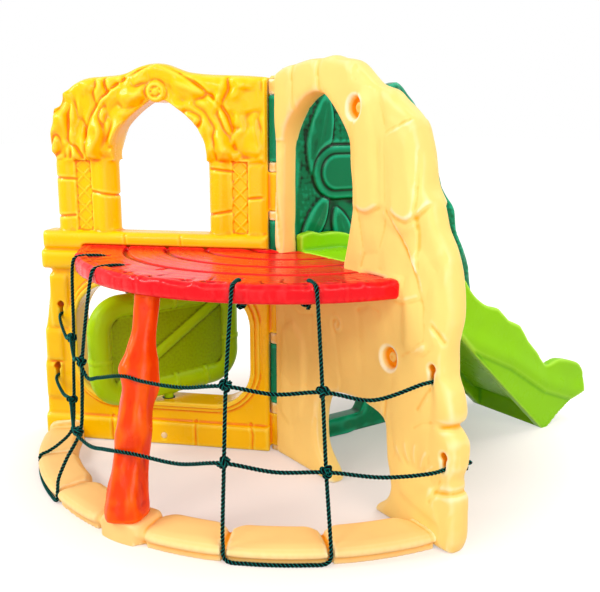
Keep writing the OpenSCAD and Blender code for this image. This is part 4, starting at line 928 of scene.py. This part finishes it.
def leaf_wall():
    mesh = moulded_mesh("leaf_wall")
    keep = rise(points_of(mesh)[:, 1], HINGE_KEEP)
    soften(mesh, LEAF_WALL_ROUNDS, keep)
    face = Face(mesh, (0, 1, 0), (1, 0, 0))
    beside = np.maximum(np.abs(face.u - PLAQUE[0]) - PLAQUE_HALF, 0)
    from_plaque = np.hypot(beside, face.z - PLAQUE[1]) - PLAQUE_R
    leafy = rise(np.abs(face.p[:, 0]), LEAF_OFF)
    pebbles, _, _, _ = cells(face.u, face.z, PEBBLE, PEBBLE, PEBBLE_SEED)
    ground = PEBBLE_RISE * dome(pebbles, PEBBLE_EDGE) * rise(lumps(face.p, PATCHES), PATCH_EDGE)
    relief = (1 - leafy) * ground + leafy * LEAF_PROUD + lumps(face.p, LEAF_LUMPS)
    relief *= rise(from_plaque, PLAQUE_EDGE) * rise(face.u, LEAF_WALL_FROM)
    rim = sum(hill(from_plaque - off, width) for off, width in PLAQUE_GROOVES)
    face.raise_by(relief - PLAQUE_CUT * rim * face.fore)
    soften(mesh, LEAF_LAST_ROUNDS, keep)
    finish_moulded("leaf_wall", mesh, GREEN)


# Platform: a slice of a trunk. Cracks: their angle about the corner and their length in from the rim
DECK_CRACKS = [
    (238, 70), (253, 95), (259, 55), (275, 60), (281, 40), (292, 75), (303, 50), (309, 85), (325, 60),
    (331, 95), (346, 55), (352, 75),
]
CRACK_START = 14
CRACK_FULL = 22
CRACK_END = 34
CRACK_W = 3
CRACK_DEPTH = 3
CRACK_WANDER = (5, 17)
# Painted shade in the cracks on the top: its share of the groove colour
CRACK_SHADE = 0.16
# Year rings by their radius, with painted shade in them, and the fine grain between them
YEAR_RINGS = [130, 235, 345, 456]
YEAR_W = 6
YEAR_DEPTH = 3.5
YEAR_SHADE = 0.45
YEAR_LUMPS = [(7, 150, 18)]
DECK_HEART_R = 60
WOOD_PITCH = 4.2
WOOD_HEIGHT = 0.3
WOOD_LUMPS = [(2.2, 90, 12)]
WOOD_RIM = 34
# Bands of its top face and its rim, and the bark there, drawn out upright
TOP_TURN = (0.5, 0.9)
TOP_LEVEL = (585, 590)
RIM_TURN = (0.25, 0.7)
RIM_IN = (10, 20)
BARK_LUMPS = [(0.8, 9, 14), (1.4, 27, 15)]
BARK_SQUEEZE = 0.16
CREST_LEVEL = (586, 596)
CREST_IN = (18, 28)
CREST_CUT = 1.6
CREST_DROP = 0.8
CREST_LUMPS = [(2.2, 13, 16)]
CREST_CHIPS = [(1.0, 31, 17)]
CHIP_DEPTH = 2.4


def platform():
    mesh = moulded_mesh("platform")
    p = points_of(mesh)
    n = normals_of(mesh)
    r, out = outward(p, DECK_CENTRE)
    inside = DECK_R - r
    arc = np.arctan2(p[:, 1] - DECK_CENTRE[1], p[:, 0] - DECK_CENTRE[0]) % (2 * math.pi) * DECK_R
    top = rise(n[:, 2], TOP_TURN) * rise(p[:, 2], TOP_LEVEL)
    turn = turn_about_corner(p)
    sway, period = CRACK_WANDER
    drop = np.zeros(len(p))
    for angle, length in DECK_CRACKS:
        off = np.radians(turn - angle) * r - sway * np.sin(r / period + angle)
        crack = fall(inside, (CRACK_FULL, CRACK_END + length)) * (inside > CRACK_START)
        drop += CRACK_DEPTH * hill(off, CRACK_W) * crack
    grain = np.sin(r / WOOD_PITCH + lumps(p, WOOD_LUMPS)) * (inside > WOOD_RIM)
    wobble = r + lumps(p, YEAR_LUMPS) * (r > DECK_HEART_R)
    rings = sum(hill(wobble - ring, YEAR_W) for ring in YEAR_RINGS)
    p[:, 2] -= top * (drop + WOOD_HEIGHT * grain + YEAR_DEPTH * rings)
    # Painted shade: year rings and cracks on the top take the darker groove colour
    painted_shade = top * (YEAR_SHADE * rings + CRACK_SHADE * drop)
    rim = rise((n * out).sum(1), RIM_TURN) * fall(inside, RIM_IN)
    line = np.stack([arc, BARK_SQUEEZE * p[:, 2], np.zeros(len(p))], axis=1)
    p += out * (rim * lumps(line, BARK_LUMPS))[:, None]
    crest = rise(p[:, 2], CREST_LEVEL) * fall(inside, CREST_IN)
    bite = CREST_CUT + lumps(line, CREST_LUMPS) + CHIP_DEPTH * np.clip(lumps(line, CREST_CHIPS), 0, 1)
    p -= (out + np.array([0, 0, CREST_DROP])) * (crest * bite)[:, None]
    set_points(mesh, p)
    finish_moulded("platform", mesh, RED, painted_shade=painted_shade)


# Trunk post with bark, and stubs of branches: their place, size and rise
TRUNK_STUBS = [
    ((169, -545, 380), 26, 11), ((214, -578, 236), 24, 7),
    ((205, -480, 330), 28, 6), ((160, -500, 440), 22, 5),
]
TRUNK_ROUNDS = 16
TRUNK_FOOT = (54, 70)
TRUNK_HEAD = (535, 550)
BARK_FOOT = (58, 90)
BARK_HEAD = (515, 545)
# Swellings and bark: how much each is squeezed before it is drawn out upright, and its layers of noise
TRUNK_LAYERS = [(0.7, [(7, 60, 41)]), (0.35, [(2.2, 21, 42)])]


def trunk_post():
    mesh = moulded_mesh("trunk_post")
    z = points_of(mesh)[:, 2]
    soften(mesh, TRUNK_ROUNDS, rise(z, TRUNK_FOOT) * fall(z, TRUNK_HEAD))
    p = points_of(mesh)
    out = sum(lumps(p * (1, 1, squeeze), layers) for squeeze, layers in TRUNK_LAYERS)
    for place, size, height in TRUNK_STUBS:
        out += height * hill(np.linalg.norm(p - place, axis=1), size)
    out *= rise(p[:, 2], BARK_FOOT) * fall(p[:, 2], BARK_HEAD)
    set_points(mesh, p + normals_of(mesh) * out[:, None])
    finish_moulded("trunk_post", mesh, ORANGE)


# Stone ring: each stone domed between its joints, given by their angle about the corner
RING_JOINTS = [229, *ROPE_ANGLES, 286, 299, 359]
RING_JOINT_W = 4
RING_JOINT_DEPTH = 2
RING_LUMPS = [(1.2, 80, 51)]
RING_FOOT = (0, 14)
RING_LIFT = (14, 44)
STONE_END = (0, 48)
STONE_IN = 17
STONE_OUT = 3
STONE_DROP = 6
STONE_LEAN = 1.3
# The boss under the post's foot, drawn in to the ring's outer edge
POST_FOOT = (241, -581.2)
POST_FOOT_EDGE = (70, 105)
POST_FOOT_PULL = 0.85
POST_FOOT_LEVEL = (6, 20)
POST_FOOT_ROUNDS = 30


def stone_ring():
    mesh = moulded_mesh("stone_ring")
    p = points_of(mesh)
    by_foot = fall(distance(p[:, 0], p[:, 1], POST_FOOT), POST_FOOT_EDGE)
    r, out = outward(p, RING_CENTRE)
    p -= out * (POST_FOOT_PULL * by_foot * np.maximum(r - RING_R, 0))[:, None]
    set_points(mesh, p)
    soften(mesh, POST_FOOT_ROUNDS, by_foot * rise(p[:, 2], POST_FOOT_LEVEL))
    p = points_of(mesh)
    n = normals_of(mesh)
    r, out = outward(p, RING_CENTRE)
    nearest = np.min([np.abs(turn_about_corner(p) - joint) for joint in RING_JOINTS], axis=0)
    gap = np.radians(nearest) * distance(p[:, 0], p[:, 1], CORNER)
    end = fall(gap, STONE_END) ** 2
    share = np.clip((r - RING_R + RING_W) / RING_W, 0, 1)
    inward = end * (STONE_IN * (1 - share) ** 2 - STONE_OUT * share**2)
    lift = rise(p[:, 2], RING_LIFT)
    p += out * ((1 - by_foot) * rise(p[:, 2], RING_FOOT) * inward)[:, None]
    p[:, 2] += lift * (lumps(p, RING_LUMPS) - STONE_DROP * (1 - by_foot) * end * (STONE_LEAN - share))
    p -= n * (RING_JOINT_DEPTH * hill(gap, RING_JOINT_W) * lift)[:, None]
    set_points(mesh, p)
    finish_moulded("stone_ring", mesh, STONE)


# Slide: rails that swell out above a crease on their outer sides. The crease is given by reach and height,
# and the swell by its level over the crease, its width and its height
SLIDE_CREASE_Y = [30, 190, 404, 610, 770, 905, 965]
SLIDE_CREASE_Z = [560, 520, 321, 222, 120, 67, 60]
SLIDE_MID = 191
RAIL_FROM = 134
RAIL_TURN = (0.6, 0.9)
SWELL = (34, 30, 7)
SWELL_FROM = (70, 120)
CREASE_EDGE = (-4, 10)
CREASE_DEPTH = 5
SLIDE_LUMPS = [(1.6, 80, 61)]


def slide():
    mesh = moulded_mesh("slide")
    p = points_of(mesh)
    n = normals_of(mesh)
    above = p[:, 2] - np.interp(p[:, 1], SLIDE_CREASE_Y, SLIDE_CREASE_Z)
    level, width, height = SWELL
    swell = height * hill(above - level, width) - CREASE_DEPTH * fall(above, CREASE_EDGE)
    swell += lumps(p, SLIDE_LUMPS)
    outer = rise(np.abs(n[:, 0]), RAIL_TURN) * (np.abs(p[:, 0] - SLIDE_MID) > RAIL_FROM)
    p[:, 0] += np.sign(n[:, 0]) * outer * rise(p[:, 1], SWELL_FROM) * swell
    set_points(mesh, p)
    finish_moulded("slide", mesh, LIME)


# Gate: bamboo with fine lines and a stippled panel, the panel painted darker as shade
GATE_PIVOT = np.array([-238.93, -238.93])
GATE_TURN = math.radians(97)
GATE_MID_Z = 311
GATE_HALF = (220, 129)
GATE_FRAME_W = 34
PANEL_OFF = 17
PANEL_TURN = (0.6, 0.9)
PANEL_SHADE = 0.2
DOT = 7
DOT_SEED = 71
DOT_EDGE = 0.6
DOT_RISE = 0.35
BAMBOO_LINES = [(0.5, 3, 72)]
BAMBOO_SQUEEZE = 0.06


def gate():
    mesh = moulded_mesh("gate")
    p = points_of(mesh)
    n = normals_of(mesh)
    along = np.array([math.cos(GATE_TURN), math.sin(GATE_TURN), 0.0])
    front = np.array([math.sin(GATE_TURN), -math.cos(GATE_TURN), 0.0])
    s = (p[:, :2] - GATE_PIVOT) @ along[:2]
    z = p[:, 2] - GATE_MID_Z
    off = (p[:, :2] - GATE_PIVOT) @ front[:2]
    within = (np.abs(s) < GATE_HALF[0] - GATE_FRAME_W) & (np.abs(z) < GATE_HALF[1] - GATE_FRAME_W)
    panel = within & (np.abs(off) < PANEL_OFF)
    dots, _, _, _ = cells(s, z, DOT, DOT, DOT_SEED)
    flat = np.sign(n @ front) * rise(np.abs(n @ front), PANEL_TURN)
    p += front * (flat * panel * DOT_RISE * dome(dots, DOT_EDGE))[:, None]
    lines = lumps(np.stack([BAMBOO_SQUEEZE * s, BAMBOO_SQUEEZE * z, off], axis=1), BAMBOO_LINES)
    p += n * (~panel * lines)[:, None]
    set_points(mesh, p)
    # The panel gets painted shade, darker than its frame
    finish_moulded("gate", mesh, BAMBOO, "gate", painted_shade=PANEL_SHADE * panel)


# Ropes: the routes of the part's source
ROPE_D = 9
ROPE_R = ROPE_D / 2
ROPE_FIT = 0.3
ROPE_GAP = 1.0
ROPE_BEND = 2 * ROPE_D
ROPE_SINK = ROPE_D - ROPE_R - ROPE_FIT
ROPE_STAND = ROPE_R + ROPE_GAP
ROPE_RUN = 88
ROPE_TAIL = 11
ROPE_LIE = ROPE_R + ROPE_FIT
ROPE_TURNS = (0, math.pi / 4, math.pi / 2)
ROPE_STEP = 2.4
RING_FOOT_R = RING_R - (1 - RING_FOOT_SHARE) * RING_W
FALLS = [
    [(545.5, 374), (551, 280), (555, 195), (566, 108), (600, 72), (630, 52)],
    [(550, 367), (556, 263), (566, 180), (606, 113), (628, 66)],
    [(575, 392), (606, 228), (634, 60)],
    [(572, 374), (607, 203), (641, 84)],
]
FOOT_STEPS = [(-1.5, 40), (0, 22.8)]
FLOOR_RUN = [
    (0.0217, 5.3), (0.0745, 0), (0.2, 0), (0.32, 0), (0.44, 0), (0.56, 0), (0.68, 0), (0.8, 0), (0.9255, 0),
    (0.9783, 5.3),
]
UPPER_POINTS = [
    (-494, -426.6, 386.5), (-455, -465, 386.5), (-430, -491, 386.5), (-318, -514, 347),
    (-207.8, -539.3, 374), (-105, -566, 345), (-5, -589.1, 367), (37.3, -583, 332), (92, -577, 345.8),
    (191.7, -551.8, 371.5), (242.1, -525.6, 367.1), (339.5, -477.1, 370.5), (441.9, -426.9, 392),
    (500, -335, 372), (553.2, -243.4, 374), (606, -146, 352), (661, -50, 386), (663, -20, 386.5),
    (663, 40.4, 386.5),
]
LOWER_POINTS = [
    (-510.2, -443, 195.5), (-472, -481, 195.5), (-445, -508, 195.5), (-330, -530, 180),
    (-211.9, -547.9, 195), (-110, -578, 176), (-5.5, -606.9, 180), (77.2, -601.5, 172.2),
    (164.4, -598.5, 192.7), (226.7, -590.4, 207.1), (267.4, -564.9, 208), (367.6, -505.1, 206.1),
    (466.2, -445.7, 228), (527, -352, 206), (586.4, -254.8, 203), (650, -150, 188), (707, -56, 195),
    (709, -25, 195.5), (709, 40.4, 195.5),
]


def polar(reach, degrees, z):
    a = math.radians(degrees)
    return (CORNER[0] + reach * math.cos(a), CORNER[1] + reach * math.sin(a), z)


def edge_reach(centre, r, degrees):
    """Reach of a circle's edge from the front corner, at an angle."""
    a = math.radians(degrees)
    d = centre - CORNER
    k = d @ np.array([math.cos(a), math.sin(a)])
    return k + math.sqrt(r * r - d @ d + k * k)


def hole_reach(a):
    return edge_reach(DECK_CENTRE, DECK_R, a) - ROPE_RUN


def floor_reach(a):
    return edge_reach(RING_CENTRE, RING_FOOT_R + ROPE_STAND, a)


def rope_fall(i):
    """From under the deck up its hole, over the rim and down to the ring's outer edge."""
    a = ROPE_ANGLES[i]
    low = DECK_TOP - ROPE_SINK - ROPE_BEND
    hole = hole_reach(a)
    rim = hole + ROPE_RUN + ROPE_STAND - ROPE_BEND
    out = [(hole, a, DECK_TOP - DECK_T - ROPE_TAIL)]
    out += [(hole + ROPE_BEND * (1 - math.cos(t)), a, low + ROPE_BEND * math.sin(t)) for t in ROPE_TURNS]
    out += [(rim + ROPE_BEND * math.sin(t), a, low + ROPE_BEND * math.cos(t)) for t in ROPE_TURNS]
    out += [(reach, a, z) for reach, z in FALLS[i]]
    return out + [(floor_reach(a) + reach, a, z) for reach, z in FOOT_STEPS]


def net_rope(i, j):
    """Down one fall, along the ring's foot and up the next fall."""
    start = ROPE_ANGLES[i]
    turn = ROPE_ANGLES[j] - start
    floor = [(floor_reach(start + s * turn), start + s * turn, ROPE_LIE + up) for s, up in FLOOR_RUN]
    return [polar(*p) for p in rope_fall(i) + floor + rope_fall(j)[::-1]]


# Strands of a rope, laid round its line, with sizes as shares of its diameter
LAY_SHARE = 3
STRAND_SHARE = 0.28
STRAND_OFF_SHARE = 0.285
STRANDS = 3
STRAND_SIDES = 7
FRAME_SIDE = (0.31, 0.53, 0.79)


def carried_frames(line):
    """Direction of the line at each point, with two directions across it that are carried along."""
    t = np.gradient(line, axis=0)
    t /= np.linalg.norm(t, axis=1)[:, None]
    n = np.empty_like(t)
    n[0] = np.cross(t[0], FRAME_SIDE)
    for i in range(len(t)):
        v = n[max(i - 1, 0)]
        v = v - t[i] * (v @ t[i])
        n[i] = v / np.linalg.norm(v)
    return t, n, np.cross(t, n)


def laid_strands(line, d):
    """Points, faces and outwardness of three strands laid round the line, for a rope of diameter d."""
    t, n, b = carried_frames(line)
    along = lengths_along(line)
    turns = np.arange(STRAND_SIDES) * 2 * np.pi / STRAND_SIDES
    verts = []
    faces = []
    for k in range(STRANDS):
        turn = 2 * np.pi * (along / (LAY_SHARE * d) + k / STRANDS)
        out = np.cos(turn)[:, None] * n + np.sin(turn)[:, None] * b
        side = np.cross(t, out)
        centre = line + STRAND_OFF_SHARE * d * out
        ring = [centre + STRAND_SHARE * d * (math.cos(a) * out + math.sin(a) * side) for a in turns]
        verts.append(np.stack(ring, axis=1).reshape(-1, 3))
        base = k * len(line) * STRAND_SIDES
        for i in range(len(line) - 1):
            for s in range(STRAND_SIDES):
                a = base + i * STRAND_SIDES + s
                c = base + i * STRAND_SIDES + (s + 1) % STRAND_SIDES
                faces.append((a, c, c + STRAND_SIDES, a + STRAND_SIDES))
        last = base + (len(line) - 1) * STRAND_SIDES
        faces.append(tuple(base + s for s in range(STRAND_SIDES - 1, -1, -1)))
        faces.append(tuple(last + s for s in range(STRAND_SIDES)))
    # Outwardness round each strand, which places the rope's painted shade and painted highlight
    crown = np.tile(0.5 + 0.5 * np.cos(turns), STRANDS * len(line))
    return np.vstack(verts), faces, crown


def strand_object(name, piece, verts, faces, crown):
    mesh = bpy.data.meshes.new(name)
    mesh.from_pydata(verts * MM, [], faces)
    smooth_faces(mesh)
    set_values(mesh, "crown", crown)
    mesh.materials.append(ROPE)
    obj = new_object(name, mesh)
    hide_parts(piece)
    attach(obj, "gym")
    return obj


def rope(name, piece, points):
    line = curve_through(points, ROPE_STEP)
    obj = strand_object(name, piece, *laid_strands(line, ROPE_D))


# Knots: which points of the falls carry one, and the size, lean and turn of a knotted loop
NET_KNOTS = [(0, 0), (0, 2), (1, 0), (1, 2), (2, 0), (2, 1), (3, 0), (3, 1)]
KNOT_POINTS = 84
KNOT_WAVE = 1.6
KNOT_SIZE = (3.9, 3.9, 4.6)
KNOT_LEAN = math.radians(60)
KNOT_TURN = 1.1
DECK_KNOT_DROP = 13.8


def knot_line(place, turn):
    """A knotted loop drawn tight about a place."""
    t = np.linspace(0, 2 * np.pi, KNOT_POINTS)
    loop = np.stack(
        [np.sin(t) + 2 * np.sin(2 * t), np.cos(t) - 2 * np.cos(2 * t), -KNOT_WAVE * np.sin(3 * t)], axis=1
    )
    leaned = Matrix.Rotation(turn, 3, "Z") @ Matrix.Rotation(KNOT_LEAN, 3, "X")
    return np.asarray(place, float) + (loop * KNOT_SIZE) @ np.array(leaned).T


def knots(name, piece, places):
    parts = [laid_strands(knot_line(place, KNOT_TURN * i), ROPE_D) for i, place in enumerate(places)]
    count = len(parts[0][0])
    faces = [tuple(i * count + k for k in face) for i, part in enumerate(parts) for face in part[1]]
    verts = np.vstack([part[0] for part in parts])
    strand_object(name, piece, verts, faces, np.concatenate([part[2] for part in parts]))


def ropes():
    rope("net_rope_left", "rope_left", net_rope(0, 1))
    rope("net_rope_right", "rope_right", net_rope(2, 3))
    rope("net_rope_upper", "rope_upper", UPPER_POINTS)
    rope("net_rope_lower", "rope_lower", LOWER_POINTS)
    crossings = [(ROPE_ANGLES[i], FALLS[i][j]) for i, j in NET_KNOTS]
    knots("net_knots_tied", "net_knots", [polar(reach + ROPE_R, a, z) for a, (reach, z) in crossings])
    ends = [UPPER_POINTS[0], LOWER_POINTS[0], UPPER_POINTS[-1], LOWER_POINTS[-1]]
    knots("wall_knots_tied", "wall_knots", ends)
    low = DECK_TOP - DECK_T - DECK_KNOT_DROP
    knots("deck_knots_tied", "deck_knots", [polar(hole_reach(a), a, low) for a in ROPE_ANGLES])


# Small pieces keep their solids and take a material
def small_parts():
    finishes = {
        "hinge_rod": STEEL, "slide_screws": STEEL, "platform_bolts": DARK_METAL, "ring_bolts": DARK_METAL,
        "gate_bushes": DARK_PLASTIC, "rod_cap": CREAM, "drain_plug": IVORY,
    }
    for name, material in finishes.items():
        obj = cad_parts[name]
        obj.data.materials.clear()
        obj.data.materials.append(material)


# Floor and backdrop: the floor glows more for the camera the farther it lies from the part, in metres
FLOOR_HALF = 30.0
FLOOR_COLOUR = (0.62, 0.54, 0.48, 1)
FLOOR_ROUGH = 0.9
GLOW_REACH = (0.55, 1.1)
GLOW = (0.3, 0.85)
WHITE = (1, 1, 1, 1)
STUDIO_STRENGTH = 0.46


def seen_directly(tree):
    """1 for rays from the camera and for mirrored or passing ones."""
    path = node(tree, "ShaderNodeLightPath")
    total = path.outputs["Is Camera Ray"]
    for kind in ("Is Glossy Ray", "Is Transmission Ray"):
        both = node(tree, "ShaderNodeMath", operation="MAXIMUM")
        tree.links.new(total, both.inputs[0])
        tree.links.new(path.outputs[kind], both.inputs[1])
        total = both.outputs[0]
    return total


def far_off(tree):
    """Distance from the middle of the part, in metres."""
    place = node(tree, "ShaderNodeTexCoord")
    away = node(tree, "ShaderNodeVectorMath", operation="LENGTH")
    tree.links.new(place.outputs["Object"], away.inputs[0])
    return away.outputs["Value"]


def floor_white():
    mat, tree, bsdf = shader("floor_white")
    link = tree.links.new
    bsdf.inputs["Base Color"].default_value = FLOOR_COLOUR
    bsdf.inputs["Roughness"].default_value = FLOOR_ROUGH
    bsdf.inputs["Specular IOR Level"].default_value = 0.0
    glow = node(tree, "ShaderNodeEmission")
    strength = node(tree, "ShaderNodeMath", operation="MULTIPLY")
    link(seen_directly(tree), strength.inputs[0])
    link(ranged(tree, far_off(tree), GLOW_REACH, GLOW), strength.inputs[1])
    link(strength.outputs[0], glow.inputs["Strength"])
    both = node(tree, "ShaderNodeAddShader")
    link(bsdf.outputs[0], both.inputs[0])
    link(glow.outputs[0], both.inputs[1])
    link(both.outputs[0], tree.nodes["Material Output"].inputs["Surface"])
    return mat


def stage():
    mesh = bpy.data.meshes.new("floor")
    corners = [(FLOOR_HALF * x, FLOOR_HALF * y, 0) for x, y in ((-1, -1), (1, -1), (1, 1), (-1, 1))]
    mesh.from_pydata(corners, [], [(0, 1, 2, 3)])
    mesh.materials.append(floor_white())
    new_object("floor", mesh)


def studio():
    """White for the camera, and a softer white that lights the part."""
    world = bpy.data.worlds.new("studio")
    world.use_nodes = True
    scene.world = world
    tree = world.node_tree
    link = tree.links.new
    back = tree.nodes["Background"]
    back.inputs["Color"].default_value = WHITE
    back.inputs["Strength"].default_value = STUDIO_STRENGTH
    white = node(tree, "ShaderNodeBackground", Color=WHITE, Strength=1.0)
    mix = node(tree, "ShaderNodeMixShader")
    link(seen_directly(tree), mix.inputs["Fac"])
    link(back.outputs[0], mix.inputs[1])
    link(white.outputs[0], mix.inputs[2])
    link(mix.outputs[0], tree.nodes["World Output"].inputs["Surface"])


# Lights: place, target and width in metres, and power in watts
AIM = (0.0, -0.1, 0.5)
LIGHTS = [
    ("key", (-1.3, -3.1, 2.7), AIM, 1.6, 80),
    ("fill", (3.2, -0.4, 1.9), AIM, 2.2, 50),
    ("top", (0.6, 2.2, 3.2), AIM, 2.2, 45),
    ("glint", (1.2, -3.3, 2.4), (-0.1, -0.2, 0.8), 0.8, 20),
    ("front", (1.7, -2.1, 0.7), (0.1, -0.2, 0.35), 1.4, 9),
]


def lights():
    for name, place, target, size, power in LIGHTS:
        data = bpy.data.lights.new(name, "AREA")
        data.shape = "DISK"
        data.size = size
        data.energy = power
        light = bpy.data.objects.new(name, data)
        light.location = place
        light.rotation_euler = (Vector(target) - Vector(place)).to_track_quat("-Z", "Y").to_euler()
        scene.collection.objects.link(light)


scene.view_settings.view_transform = "Standard"
add_camera()
window_wall()
rock_wall()
leaf_wall()
platform()
trunk_post()
stone_ring()
slide()
gate()
ropes()
small_parts()
stage()
studio()
lights()
